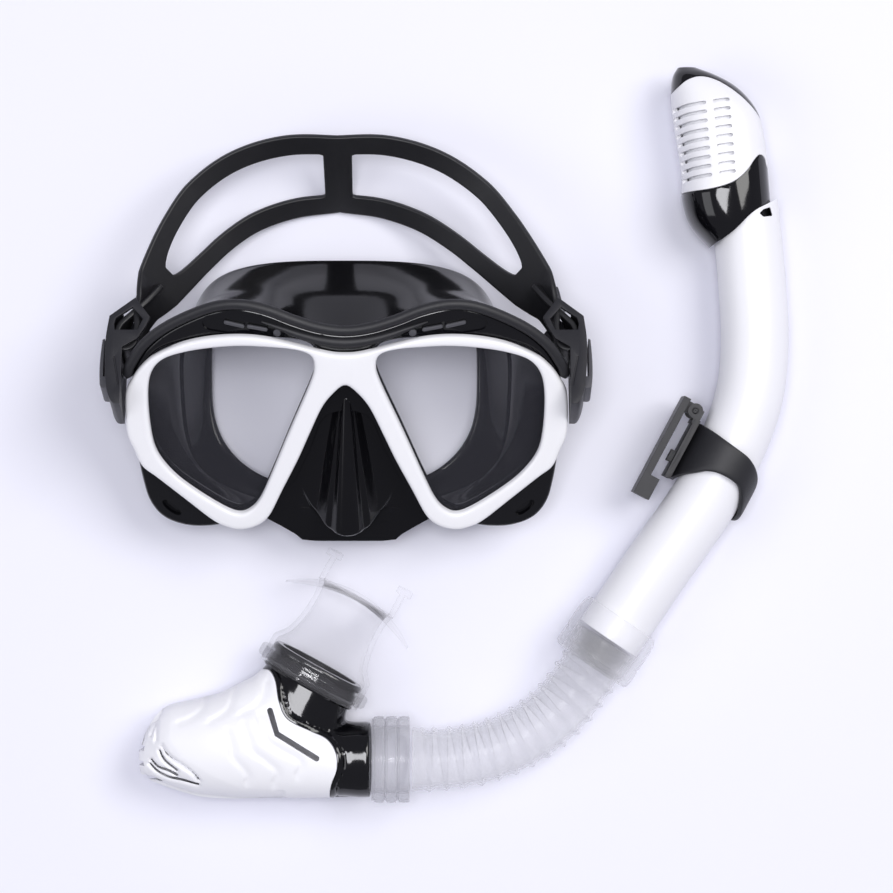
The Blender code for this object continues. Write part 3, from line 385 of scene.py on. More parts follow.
def rounded_plate(outer, holes, profile, reach, bottom):
    """A plate whose outer edge and holes have front edges that follow a profile of (share of reach, height).

    Where two edges are near each other, the profile narrows so that both still fit.
    """
    outlines = [(outer, -1)] + [(hole, 1) for hole in holes]
    bm = bmesh.new()
    front_edges = []
    for index, (outline, side) in enumerate(outlines):
        others = np.array([p for k, (o, _) in enumerate(outlines) if k != index for p in o] or [(1e3, 1e3)])
        nearest = [float(np.hypot(*(others - np.array(p)).T).min()) for p in outline]
        limit = np.minimum(reach, 0.47 * np.array(nearest))
        for _ in range(6):
            limit = np.minimum(limit, (np.roll(limit, 1) + limit + np.roll(limit, -1)) / 3 + 0.02)
        across = outward(outline)
        rows = []
        for share, height in [(0.12, bottom), (0.0, bottom + 0.25), *profile]:
            rows.append([bm.verts.new(Vector((*(p + side * share * float(w) * n), height)) * MM)
                         for p, n, w in zip(outline, across, limit)])
        count = len(outline)
        for near, far in zip(rows, rows[1:]):
            for j in range(count):
                k = (j + 1) % count
                bm.faces.new((near[j], near[k], far[k], far[j]))
        front_edges.append((rows[0], rows[-1]))
    for end in (0, 1):
        edges = [bm.edges.get((row[end][j], row[end][(j + 1) % len(row[end])]))
                 for row in front_edges for j in range(len(row[end]))]
        bmesh.ops.triangle_fill(bm, edges=edges, use_beauty=True, use_dissolve=False)
    bmesh.ops.recalc_face_normals(bm, faces=bm.faces)
    return from_bmesh(bm, "plate")


def swept_back(obj, step=3):
    """Bends a flat piece of the mask's front back towards the temples."""
    bm = bmesh.new()
    bm.from_mesh(obj.data)
    for x in range(-96, 97, step):
        bmesh.ops.bisect_plane(bm, geom=[*bm.verts, *bm.edges, *bm.faces], plane_co=(x * MM, 0, 0),
                               plane_no=(1, 0, 0), dist=1e-7)
    for vertex in bm.verts:
        vertex.co.z += sweep_at(vertex.co.x / MM) * MM
    bm.to_mesh(obj.data)
    bm.free()
    return obj


def remeshed(obj, voxel, smoothing):
    """One even skin over a union of closed shapes, with its junctions softened."""
    modify(obj, "REMESH", mode="VOXEL", voxel_size=voxel * MM)
    modify(obj, "SMOOTH", factor=0.5, iterations=smoothing)
    return baked(obj)


def joined(*objects):
    """Several meshes made one object, without cutting them."""
    bm = bmesh.new()
    for obj in objects:
        bm.from_mesh(obj.data)
        bpy.data.objects.remove(obj)
    return from_bmesh(bm, "joined")


def moved(obj, change):
    """Moves every point of a mesh by change(point), which gives a new point in millimetres."""
    for vertex in obj.data.vertices:
        vertex.co = change(vertex.co / MM) * MM
    return obj


def distance_to(line):
    """A function that gives the distance from (x, y) to a line of points, and the side it is on."""
    ends = np.array([(p[0], p[1]) for p in line], float)
    start, along = ends[:-1], np.diff(ends, axis=0)
    length2 = (along ** 2).sum(1)

    def measure(x, y):
        rel = np.array((x, y)) - start
        share = np.clip((rel * along).sum(1) / length2, 0, 1)
        away = rel - share[:, None] * along
        i = int((away ** 2).sum(1).argmin())
        side = along[i, 0] * rel[i, 1] - along[i, 1] * rel[i, 0]
        return float(np.hypot(*away[i])) * (1 if side > 0 else -1)
    return measure


def dressed(obj, name, mat, axes, smooth=38):
    """Names a finished mesh, puts it in its place and gives it its material."""
    obj.name = obj.data.name = name
    shift = axes.copy()
    shift.translation *= MM
    obj.data.transform(shift)
    if axes.determinant() < 0:
        obj.data.flip_normals()
    obj.data.materials.clear()
    obj.data.materials.append(mat)
    obj.data.shade_smooth()
    obj.data.set_sharp_from_angle(angle=math.radians(smooth))
    return obj


def piece(obj, name, mat, body, *nodes, smooth=38, slot=None, axes=None):
    """A finished mesh that rides on a body. The body gives its axes; the slot argument is not used."""
    dressed(obj, name, mat, BODY_AXES[body] if axes is None else axes, smooth)
    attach(obj, body)
    if nodes:
        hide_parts(*nodes)


# ---------------------------------------------------------------- materials
def node(tree, kind, **values):
    made = tree.nodes.new(kind)
    for key, value in values.items():
        if key in made.inputs:
            made.inputs[key].default_value = value
        else:
            setattr(made, key, value)
    return made


def finish(name, colour, roughness, variation=0.06, grain=1400, bump=0.12, spread=0.06, slot=None, **sockets):
    """A moulded material: uneven tone and roughness and a fine surface grain, in the object's own space."""
    mat = bpy.data.materials.new(name)
    mat.use_nodes = True
    tree = mat.node_tree
    shader = tree.nodes["Principled BSDF"]
    place = node(tree, "ShaderNodeTexCoord")
    broad = node(tree, "ShaderNodeTexNoise", Scale=38.0, Detail=3.0, Roughness=0.55)
    tone = node(tree, "ShaderNodeMix", data_type="RGBA")
    tone.inputs["A"].default_value = (*(c * (1 - variation) for c in colour), 1)
    tone.inputs["B"].default_value = (*(min(1.0, c * (1 + variation)) for c in colour), 1)
    patches = node(tree, "ShaderNodeTexNoise", Scale=170.0, Detail=4.0, Roughness=0.6)
    rough = node(tree, "ShaderNodeMapRange")
    rough.inputs["To Min"].default_value = max(0.0, roughness - spread)
    rough.inputs["To Max"].default_value = roughness + spread
    fine = node(tree, "ShaderNodeTexNoise", Scale=float(grain), Detail=3.0, Roughness=0.6)
    relief = node(tree, "ShaderNodeBump", Strength=bump, Distance=0.0002)
    link = tree.links.new
    for texture in (broad, patches, fine):
        link(place.outputs["Object"], texture.inputs["Vector"])
    link(broad.outputs["Fac"], tone.inputs["Factor"])
    link(tone.outputs["Result"], shader.inputs["Base Color"])
    link(patches.outputs["Fac"], rough.inputs["Value"])
    link(rough.outputs["Result"], shader.inputs["Roughness"])
    link(fine.outputs["Fac"], relief.inputs["Height"])
    link(relief.outputs["Normal"], shader.inputs["Normal"])
    for key, value in sockets.items():
        shader.inputs[key.replace("_", " ")].default_value = value
    return mat


def clear(name, colour, roughness, body_alpha, edge_alpha, power, **more):
    """A see-through material that is nearly invisible face on and shows at its edges."""
    mat = finish(name, colour, roughness, **more)
    tree = mat.node_tree
    shader = tree.nodes["Principled BSDF"]
    facing = node(tree, "ShaderNodeLayerWeight", Blend=0.5)
    shape = node(tree, "ShaderNodeMath", operation="POWER")
    shape.inputs[1].default_value = power
    share = node(tree, "ShaderNodeMapRange")
    share.inputs["To Min"].default_value = body_alpha
    share.inputs["To Max"].default_value = edge_alpha
    tree.links.new(facing.outputs["Facing"], shape.inputs[0])
    tree.links.new(shape.outputs["Value"], share.inputs["Value"])
    tree.links.new(share.outputs["Result"], shader.inputs["Alpha"])
    return mat


GLOSSY = {"grain": 700, "bump": 0.03, "spread": 0.03}
BLACK_SILICONE = finish("black_silicone", (0.004, 0.004, 0.005), 0.11, grain=900, bump=0.05, spread=0.05,
                        Specular_IOR_Level=0.3)
STRAP_SILICONE = finish("strap_silicone", (0.010, 0.010, 0.012), 0.42, grain=2600, bump=0.22, spread=0.08,
                        slot="black_silicone")
BLACK_GLOSS = finish("black_gloss", (0.003, 0.003, 0.004), 0.09, **GLOSSY)
SMOKE_GLOSS = finish("smoke_gloss", (0.003, 0.003, 0.004), 0.08, **GLOSSY)
BLACK_MATTE = finish("black_matte", (0.014, 0.014, 0.017), 0.5, grain=3200, bump=0.35)
BUCKLE_MATTE = finish("buckle_matte", (0.016, 0.016, 0.020), 0.42, grain=3000, bump=0.28, slot="black_matte")
GREY_PLASTIC = finish("grey_plastic", (0.07, 0.07, 0.08), 0.42, grain=3000, bump=0.25)
WHITE_GLOSS = finish("white_gloss", (0.88, 0.88, 0.90), 0.20, variation=0.012, grain=900, bump=0.03)
WHITE_COVER = finish("white_cover", (0.87, 0.87, 0.895), 0.34, variation=0.015, grain=2400, bump=0.08,
                     slot="white_gloss")
WHITE_SATIN = finish("white_satin", (0.86, 0.86, 0.89), 0.36, variation=0.015, grain=2600, bump=0.08)
STEEL = finish("steel", (0.62, 0.62, 0.64), 0.28, grain=3500, bump=0.2, Metallic=1.0)
GLASS = clear("glass", (0.55, 0.55, 0.66), 0.03, 0.022, 0.35, 4.0, variation=0.02, grain=120, bump=0.01,
              spread=0.01)
CLEAR_SILICONE = clear("clear_silicone", (0.95, 0.95, 0.99), 0.14, 0.08, 0.6, 2.2, variation=0.02, bump=0.05)
SHEER_SILICONE = clear("sheer_silicone", (0.93, 0.93, 0.98), 0.12, 0.02, 0.36, 3.2, variation=0.02, bump=0.04,
                       slot="clear_silicone")
CLEAR_PLASTIC = clear("clear_plastic", (0.60, 0.60, 0.64), 0.05, 0.07, 0.8, 1.8, variation=0.05, bump=0.03)
SHEER_PLASTIC = clear("sheer_plastic", (0.32, 0.32, 0.35), 0.05, 0.03, 0.36, 2.6, variation=0.05, bump=0.03,
                      slot="clear_plastic")


# ---------------------------------------------------------------- the mask
EDGE = [(0.0, 0.42), (0.06, 0.66), (0.2, 0.84), (0.42, 0.94), (0.7, 0.985), (1.0, 1.0)]


def edge_profile(bottom, top):
    """The crowned edge of a moulded plate, as shares of its height."""
    return [(share, bottom + 0.25 + (top - bottom - 0.25) * height) for share, height in EDGE]


def window_line(step=1.2):
    return respaced(smooth_line(WINDOW_OUTLINE, 8, cyclic=True), step, cyclic=True)


def front_bezel():
    outer = respaced(smooth_line(mirrored(BEZEL_OUTLINE), 8, cyclic=True), 1.2, cyclic=True)
    window = window_line()
    made = rounded_plate(outer, [window, flipped(window)], edge_profile(0.0, BEZEL_FRONT), 2.3, 0.0)
    piece(swept_back(made), "bezel", WHITE_GLOSS, "mask", "front_bezel")


def mask_windows():
    line = grown(window_line(1.5), 2.3)
    for side, word in ((1, "left"), (-1, "right")):
        outline = [Vector((side * p.x, p.y)) for p in line]
        profile = [(0.0, WINDOW_FRONT - 0.5), (0.5, WINDOW_FRONT), (1.0, WINDOW_FRONT)]
        pane = rounded_plate(outline, [], profile, 0.8, WINDOW_BACK)
        piece(swept_back(pane, 6), "pane_" + word, GLASS, "mask", "window_" + word)


def along_brow(half_line, size, centre_n, offset=0.0):
    """A bead along the brow. size(share) is its half width and half height at a share of its length."""
    line = respaced(smooth_line(both_sides(half_line), 8), 1.6)
    rings = []
    for i, point in enumerate(line):
        share = abs(2 * i / (len(line) - 1) - 1)
        along = along_at(line, i)
        across = Vector((-along.y, along.x))
        wide, high = size(share)
        centre = point + across * offset
        section = [(wide * math.cos(t), high * math.sin(t)) for t in angles_round(16)]
        rings.append([(centre.x + across.x * a, centre.y + across.y * a, sweep_at(centre.x) + centre_n + b)
                      for a, b in section])
    return loft(rings)


def brow_trim():
    """The soft bead along the brow and the low ridge under its middle."""
    def bead_size(share):
        end = math.sqrt(max(0.02, 1 - max(0.0, (share - 0.975) / 0.025) ** 2))
        return 2.15 * end, 2.0 * end

    def ridge_size(share):
        taper = max(0.0, 1 - share ** 1.5)
        return 0.3 + 1.9 * taper, 0.4 + 1.5 * taper
    bead = along_brow(BROW_LINE, bead_size, -0.3)
    piece(bead, "bead", BLACK_MATTE, "mask", "brow_bead")
    ridge = along_brow([(0, 44.2), (8, 45.0), (16, 47.0), (24, 49.8), (31, 52.2)], ridge_size, -0.5, -4.6)
    piece(ridge, "brow_ridge", BLACK_MATTE, "mask")


LOUVRE = ((25.2, 42.6), (52.8, 46.2))       # the two ends of the recess above each window


def mask_frame():
    """The black frame behind the bezel, with a recess above each window and in each lower corner."""
    brow = smooth_line(both_sides(BROW_LINE), 8)
    shifted = []
    for i, point in enumerate(brow):
        along = along_at(brow, i)
        shifted.append(point + 1.9 * Vector((along.y, -along.x)))
    lower = smooth_line(FRAME_LOWER, 8)
    outline = respaced(shifted + lower + flipped(reversed(lower[:-1])), 1.2, cyclic=True)
    seat = grown(window_line(1.5), 2.7)
    centre, turn = Vector((71.6, -36.9)), math.radians(40)
    c, s = math.cos(turn), math.sin(turn)
    slot = [centre + Vector((a * c - b * s, a * s + b * c)) for a, b in super_ring(28, 4.6, 1.9, 2.2)]
    profile = edge_profile(WINDOW_BACK, WINDOW_FRONT)
    made = rounded_plate(outline, [seat, flipped(seat)], profile, 2.0, WINDOW_BACK)
    made = cut(made, extruded(slot, -3.2, 3), extruded(flipped(slot), -3.2, 3),
               *(pill([(side * x, y) for x, y in LOUVRE], 3.1, -2.1, 3) for side in (-1, 1)))
    start, end = (Vector(p) for p in LOUVRE)
    made = swept_back(bevelled(made, 0.25, 2, 40))
    piece(made, "frame", BLACK_GLOSS, "mask", "mask_frame")
    for side, word in ((-1, "right"), (1, "left")):
        bars = []
        for share in (0.33, 0.66):
            middle = start.lerp(end, share)
            half = Vector((3.3, 0.35 + 0.5 * share))
            ends = [middle - half, middle + half]
            bars.append(pill([(side * p.x, p.y + 0.8) for p in ends], 0.75, -2.6, -1.0))
        eye = start.lerp(end, 0.05)
        bars.append(rod((side * eye.x, eye.y, -2.6), (side * eye.x, eye.y, -1.3), 1.5))
        bars = swept_back(bevelled(joined(*bars), 0.25, 2))
        piece(bars, "brow_louvre_" + word, GREY_PLASTIC, "mask")


def reach_of(outline, direction):
    """How far a closed outline round the origin reaches in a direction."""
    best = 0.0
    for a, b in zip(outline, outline[1:] + outline[:1]):
        edge = b - a
        across = direction.x * edge.y - direction.y * edge.x
        if abs(across) < 1e-9:
            continue
        distance = (a.x * edge.y - a.y * edge.x) / across
        share = (a.x * direction.y - a.y * direction.x) / across
        if distance > 0 and -1e-6 <= share <= 1 + 1e-6:
            best = max(best, distance)
    return best


def mask_skirt():
    """The silicone skirt: walls back to a rolled rear lip, a second seal inside it, and the web in front."""
    front = smooth_line(mirrored(FACE_OUTLINE), 4, cyclic=True)
    rim = [Vector(p) for p in super_ring(144, 1.0, 1.0, 3.1)]
    rim = [Vector((p.x * RIM_HALF_WIDTH, p.y * (RIM_TOP if p.y > 0 else -RIM_BOTTOM))) for p in rim]
    face = [p.normalized() * reach_of(front, p.normalized()) for p in rim]

    def ring(share, spread, turned_in=0.0, lifted=0.0):
        """share is the way back from the web to the rear edge, spread the way in from the front's outline."""
        points = []
        for near, far in zip(face, rim):
            flat = near.lerp(far, spread) * (1 - turned_in)
            up = far.y / (RIM_TOP if far.y > 0 else -RIM_BOTTOM)
            rear = -(MASK_ORIGIN.z + math.sin(MASK_TILT) * flat.y) / math.cos(MASK_TILT)
            rear += FOREHEAD_LIFT * max(0, up) ** 2.5 + LIP_LIFT * max(0, -up) ** 6
            start = sweep_at(flat.x) + WEB_TOP - 1.4
            points.append((flat.x + SKIRT_LEAN * share, flat.y, start + (rear - start) * share + lifted))
        return points

    stations = [(0, 0, 0, 0), (0.05, 0.03, 0, 0), (0.12, 0.14, 0, 0), (0.28, 0.42, 0, 0), (0.45, 0.7, 0, 0),
                (0.62, 0.84, 0, 0), (0.8, 0.94, 0, 0), (0.93, 1, 0, 0), (0.99, 1.0, 0.012, 0.3),
                (1, 1, 0.035, 1.3), (1, 1, 0.065, 2.6), (1, 1, 0.095, 4.6)]
    stations = smooth_line(stations, 3)
    wall = solidified(open_loft([ring(*s) for s in stations]), SKIRT_WALL)
    piece(wall, "skirt_wall", BLACK_SILICONE, "mask", "skirt", smooth=60)
    inner = [(0.52, 0.76, 0.03, 0), (0.66, 0.86, 0.055, 0), (0.8, 0.94, 0.09, 0.6), (0.9, 1, 0.125, 2.2),
             (0.94, 1, 0.15, 4.4)]
    inner = smooth_line(inner, 3)
    seal = solidified(open_loft([ring(*s) for s in inner]), 1.1)
    piece(seal, "skirt_inner_seal", BLACK_SILICONE, "mask", smooth=60)

    window = grown(window_line(1.6), 0.6)
    nose = [Vector((half - 3.4, height - 1)) for height, half in NOTCH_SIDE if half > 6 and height > -36]
    nose = respaced(smooth_line([*nose, *flipped(reversed(nose))], 3, cyclic=True), 1.6, cyclic=True)
    profile = [(0.0, WEB_TOP - 0.5), (0.3, WEB_TOP - 0.12), (1.0, WEB_TOP)]
    web = rounded_plate(grown(respaced(face, 1.6, cyclic=True), -1.0), [window, flipped(window), nose],
                        profile, 1.0, WEB_TOP - WEB_THICK)
    piece(swept_back(web, 4), "skirt_web", BLACK_SILICONE, "mask")


def eased(share):
    """0 below 0, 1 above 1, and a smooth step between."""
    share = min(1.0, max(0.0, share))
    return share * share * (3 - 2 * share)


def hump(share):
    """A smooth hump: 1 at 0, and 0 from 1 outwards on both sides."""
    return 0.5 + 0.5 * math.cos(math.pi * min(1.0, abs(share)))


def notch_half(height):
    """Half the width of the nose notch at a height."""
    for (high, half_high), (low, half_low) in zip(NOTCH_SIDE, NOTCH_SIDE[1:]):
        if low <= height <= high:
            return half_high + (half_low - half_high) * (high - height) / (high - low)
    return NOTCH_SIDE[-1][1]


def nose_height(x, height):
    """How far the nose pocket's skin stands in front of the web at a point of the notch."""
    grow = min(1.0, max(0.0, (15.0 - height) / 56))
    ridge_half = 4.0 + 11.0 * grow
    ridge = (2.8 + 7.6 * grow) * hump(x / ridge_half) ** 0.7
    flutes = -0.9 * grow ** 0.5 * (hump((abs(x) / ridge_half - 0.45) / 0.16))
    flank = 3.2 * grow * hump(x / (notch_half(height) + 1))
    start = eased((16.2 - height) / 3.5)
    under = -45.8 + 7.0 * (abs(x) / 14) ** 3
    fall = eased((height - under) / 3.4)
    boss = 3.0 * math.sqrt(max(0.0, 1 - ((height - 19.0 + 0.045 * x * x) / 3.6) ** 2 - (x / 6.5) ** 2))
    edge = eased((notch_half(height) - 0.7 - abs(x)) / 2.4)
    return -6.6 - 2.2 * edge * (1 - grow) + (ridge + flutes + flank) * start * fall + boss


def nose_pocket():
    """The nose pocket: a ridge with sweeping flanks that grows towards the nostrils, under a small boss."""
    across, rows = 96, 120
    top, low = 22.8, -52.2
    rings = []
    for i in range(rows + 1):
        height = top + (low - top) * i / rows
        half = notch_half(height) - 0.7
        ring = []
        for k in range(across + 1):
            x = half * (2 * k / across - 1)
            ring.append((x, height, nose_height(x, height)))
        rings.append(ring)
    surface = loft(rings, False, False, cyclic=False)
    if sum(f.normal.z for f in surface.data.polygons) < 0:
        surface.data.flip_normals()
    piece(solidified(surface, 1.8, even=False), "nose_pocket", BLACK_SILICONE, "mask", smooth=60)


# ---------------------------------------------------------------- strap and buckles, in the loop's own axes
def strap_columns():
    """Stations along the strap from its middle to the end of the tail, on the +X side."""
    rx, ry = ROLLER_AT
    reach = ROLLER_R + 0.3 + STRAP_THICK / 2
    wrap = [Vector((PIVOT.x + rx - reach * math.cos(a), ry - reach * math.sin(a)))
            for a in (math.radians(k) for k in range(-12, 165, 16))]
    band = [Vector(p) for p in ((0, 89.6), (20, 88.2), (38, 82), (52, 71.8), (62, 59.8), (70.5, 47),
                                (77.8, 34.5), (82.6, 23.5))]
    tail = [(reach + 0.1, 1.5), (2.2, 7), (-1.6, 13.5), (-5.2, 19.5), (-8.8, 27)]
    tail = smooth_line([Vector((PIVOT.x + rx + x, ry + y)) for x, y in tail], 4)
    return respaced(smooth_line([*band, wrap[0]], 8), 1.5)[:-1] + wrap + tail


def head_strap():
    """The split head strap: two bands joined by a bridge, wrapped round both rollers."""
    route = strap_columns()
    lengths = [0.0]
    for a, b in zip(route, route[1:]):
        lengths.append(lengths[-1] + (b - a).length)
    hole_start, hole_end, narrow = 5.0, 90.0, 108.0
    rows, middle = 21, 10
    rings = {1: [], -1: []}
    for i, (point, along) in enumerate(zip(route, lengths)):
        half = 8.1 + 12.4 * max(0.0, math.cos(min(1.0, along / narrow) * math.pi / 2)) ** 0.7
        inner = 10.2 * max(0.0, 1 - (along / hole_end) ** 2.6) ** 0.5
        if hole_start <= along < hole_start + 2.4:
            inner -= 2.4 - math.sqrt(max(0.0, 2.4 ** 2 - (hole_start + 2.4 - along) ** 2))
        after = route[min(i + 1, len(route) - 1)] - route[max(i - 1, 0)]
        if i == 0:
            after.y = 0
        normal = Vector((after.y, -after.x)).normalized()
        lean = math.radians(20 + 24 * min(1.0, along / 60)) * max(0.0, min(1.0, (point.y - 18) / 20))
        open_here = hole_start <= along <= hole_end and inner > 0.5
        slit = max(inner, 0.8)
        levels = [-half + (half - slit) * (k / middle) for k in range(middle)] + [0.0]
        levels += [slit + (half - slit) * (k / middle - 1) for k in range(middle + 1, rows)]
        aside = -4.5 * math.cos(min(1.0, along / narrow) * math.pi / 2)
        for side in (1, -1):
            extra = -2.0 * math.sin(min(1.0, along / narrow) * math.pi) if side > 0 else 0.0
            column = []
            for across in levels:
                out = across * math.sin(lean)
                column.append((side * (point.x - normal.x * out) + aside + extra, point.y - normal.y * out,
                               across * math.cos(lean)))
            rings[side].append((column, open_here))
    points, faces = [], []
    for side in (1, -1):
        base = len(points)
        for column, _ in rings[side]:
            points.extend(column)
        for i in range(len(rings[side]) - 1):
            gap = rings[side][i][1] and rings[side][i + 1][1]
            for row in range(rows - 1):
                if gap and row in (middle - 1, middle):
                    continue
                a = base + i * rows + row
                corner = (a, a + rows, a + rows + 1, a + 1)
                faces.append(corner if side > 0 else corner[::-1])
    surface = outwards(new_object("strap", points, faces))
    made = bevelled(solidified(surface, STRAP_THICK, 0), 0.7, 3, 50)
    piece(made, "strap", STRAP_SILICONE, "strap_loop", "head_strap", smooth=50)


def buckle_axes(side):
    return LOOP_AXES @ Matrix.Translation(Vector((side * PIVOT.x, 0, 0))) @ Matrix.Scale(side, 4, (1, 0, 0))


BUCKLE_PLAN = [(-2.4, -17.5), (0.6, -17), (2.8, -12), (3.8, -5), (4.3, 4), (4.2, 12), (3.2, 20.5),
               (-6.8, 28.6), (-13.0, 20), (-11.4, 16), (-8.2, 10.6), (-2.4, 7)]
BUCKLE_WELL = [(-30, 3.4), (1.2, 3.4), (2.5, 6), (2.6, 12), (1.8, 19.6), (-1.6, 22.6), (-1.6, 60), (-30, 60)]
BUCKLE_OPENING = [(-8.2, 14.4), (0.9, 14.4), (1.2, 17), (0.6, 19.6), (-5.8, 24.4), (-10.2, 19.2)]
BUCKLE_HALF, CHEEK = 10.4, 1.7


def buckle(side, word):
    """The buckle's body, its toothed roller and its ribbed release lever."""
    axes = buckle_axes(side)
    inner = BUCKLE_HALF - CHEEK
    rx, ry = ROLLER_AT
    body = extruded([*smooth_line(BUCKLE_PLAN[:7], 4), *BUCKLE_PLAN[7:]], -BUCKLE_HALF, BUCKLE_HALF)
    well = [BUCKLE_WELL[0], *smooth_line(BUCKLE_WELL[1:6], 4), *BUCKLE_WELL[6:]]
    body = cut(body, extruded(well, -inner, inner), extruded(BUCKLE_OPENING, 5, 20),
               box((0.2, -10.2, -7.3), (20, -3.6, 7.3)), rod((-10, 0, 0), (1.2, 0, 0), 2.1),
               rod((rx, ry, -9.6), (rx, ry, 9.6), 1.35), pill([(-1.6, -9.5), (0.6, 2.5)], 0.35, 9.9, 20))
    body = bevelled(body, 0.45)
    piece(body, "buckle_body_" + word, BUCKLE_MATTE, "strap_loop", "buckle_" + word, axes=axes)

    teeth, ring = 11, []
    for angle in angles_round(6 * teeth):
        radius = ROLLER_R - 0.35 + 0.33 * math.cos(teeth * angle)
        ring.append((rx + radius * math.cos(angle), ry + radius * math.sin(angle)))
    roller = united(extruded(ring, -8.2, 8.2), rod((rx, ry, -9.3), (rx, ry, 9.3), 1.25))
    piece(roller, "toothed_roller_" + word, BUCKLE_MATTE, "roller_" + word, "strap_roller_" + word, axes=axes)

    lever = [(1.0, -9.0), (5.4, -9.2), (6.3, -6), (6.5, 0), (6.3, 6), (5.9, 11.6), (5.0, 11.9), (5.1, 6),
             (5.1, 0), (5.0, -4.4), (1.0, -4.4)]
    made = extruded([*smooth_line(lever[:6], 4), *smooth_line(lever[6:10], 3), lever[10]], -7.0, 7.0)
    ribs = [box((6.05, y, -5.6), (8, y + 0.8, 5.6)) for y in (3.2 + 2.0 * k for k in range(4))]
    made = cut(made, *ribs, rod((2.4, -7, -9), (2.4, -7, 9), 0.85))
    piece(bevelled(made, 0.3), "lever_cover_" + word, GREY_PLASTIC, "lever_" + word, "release_lever_" + word,
          axes=axes)


# ---------------------------------------------------------------- the snorkel's lower end
def spigot_axes():
    return Matrix.Translation(SPIGOT_END) @ Matrix.Rotation(SPIGOT_TURN - math.pi / 2, 4, "Z")


def spigot_ring(y, half, deep, count=48):
    """A rounded ring round the spigot's own line, y towards the mouth."""
    turn = spigot_axes()
    return [turn @ Vector((a, y, b)) for a, b in super_ring(count, half, deep, 2.4)]


GROOVES = [
    [(-88.8, -116.5), (-87.3, -121.3), (-86.4, -126), (-82.5, -130.7), (-80.7, -133.7), (-81.3, -136)],
    [(-82.6, -112.3), (-80.1, -118.9), (-78.4, -123.6), (-73.0, -127.8), (-68.8, -132), (-70.3, -136.6)],
    [(-76.6, -108.8), (-74.5, -114.1), (-72.4, -119.5), (-66.4, -123.6), (-61.1, -126.6), (-59.2, -129.3),
     (-60.8, -133)],
    [(-98.6, -102.0), (-99.8, -106.4), (-104.5, -110), (-108.5, -111.4)],
    [(-86.7, -99.6), (-88.5, -105.2), (-91.4, -108.2), (-96, -110.8)],
    [(-73.4, -95.2), (-74.8, -100.5), (-77.8, -104.6), (-83.4, -107.8)]]
TOE_SLITS = [
    [(-115.6, -121.5), (-113, -125.5), (-107.5, -129.4), (-103, -132.8), (-100.4, -136.4)],
    [(-116.6, -123.4), (-114.4, -128), (-109.4, -132.4)],
    [(-120.2, -128.4), (-117.4, -131.4), (-113, -132.8), (-109.6, -134.6)],
    [(-121, -130.4), (-117.8, -133.6), (-113, -136), (-107, -137), (-101, -138.6)],
    [(-117.4, -107.8), (-119, -111), (-120.6, -117)],
    [(-118, -111.6), (-118.2, -119.4)]]
CHEVRON = [(-71.5, -107.0), (-68.6, -116.2), (-52.6, -126.2)]


def lower_body():
    """The outer skin of the purge chamber, the hose stub and the neck of the spigot, as one soft shape."""
    sections = smooth_line(CHAMBER, 5)
    rings = [[(x, middle + b, SNORKEL_Z + a) for a, b in super_ring(56, deep, wide, 2.35)]
             for x, middle, wide, deep in sections]
    neck = loft([spigot_ring(-30, 24, 15.5), spigot_ring(-20, 22, 14.6), spigot_ring(-12, 19.2, 13.3),
                 spigot_ring(-2, 18.6, 12.8)])
    shoulder = loft([[(x, middle + b, SNORKEL_Z + a) for a, b in super_ring(40, deep, wide, 2.2)]
                     for x, middle, wide, deep in ((-66, -110, 14, 14.5), (-77, -108.6, 15.5, 15),
                                                   (-88, -111.6, 13, 14.5), (-100, -113.6, 9, 11))])
    return remeshed(joined(loft(rings), neck, shoulder), 0.75, 10)


def seam(steps, shift=0.0):
    return smooth_line([(x + shift, y + shift * 0.6) for x, y in SEAM], steps)


def engraved(obj):
    """Presses the cover's wavy grooves and toe slits, and the housing's seam lip, into the skin."""
    grooves = [distance_to(smooth_line(g, 5)) for g in GROOVES]
    slits = [distance_to(smooth_line(g, 5)) for g in TOE_SLITS]
    lip = distance_to(seam(6))
    crest = distance_to([(-112, -100), (-112.4, -118), (-107, -126), (-96, -132.6), (-84, -138.4),
                         (-70, -139.6)])

    def change(p):
        high = p.z - SNORKEL_Z
        if high < 0:
            return p
        drop = 0.0
        if p.x < -56 or p.y < -104:
            for measure in grooves:
                d = measure(p.x, p.y)
                if abs(d) < 5:
                    drop += 0.75 * (math.exp(-(d / 0.75) ** 2) if d < 0 else math.exp(-(d / 2.2) ** 2))
        if p.x < -98:
            for measure in slits:
                drop += 1.7 * math.exp(-(measure(p.x, p.y) / 0.75) ** 2)
        d = crest(p.x, p.y)
        if d < 0 and p.x < -66:
            drop += 0.16 * min(9.0, -d)
        d = lip(p.x, p.y)
        if 0.5 < d < 6:
            drop += 0.7 * math.exp(-((d - 2.6) / 0.5) ** 2) + (0.55 if d > 2.6 else 0.0)
        elif d >= 6:
            drop += 0.55 * max(0.0, 1 - (d - 6) / 6)
        outward_way = Vector((0, (p.y + 123) / 20, high / 16))
        if outward_way.length < 0.2:
            return p
        return p - outward_way.normalized() * drop
    return moved(obj, change)


def cavity(obj, wall):
    """The hollow inside a closed skin, this far under its surface."""
    made = linked("cavity", obj.data.copy())
    inward = [vertex.normal * wall * MM for vertex in made.data.vertices]
    for vertex, step in zip(made.data.vertices, inward):
        vertex.co -= step
    return remeshed(made, 1.1, 3)


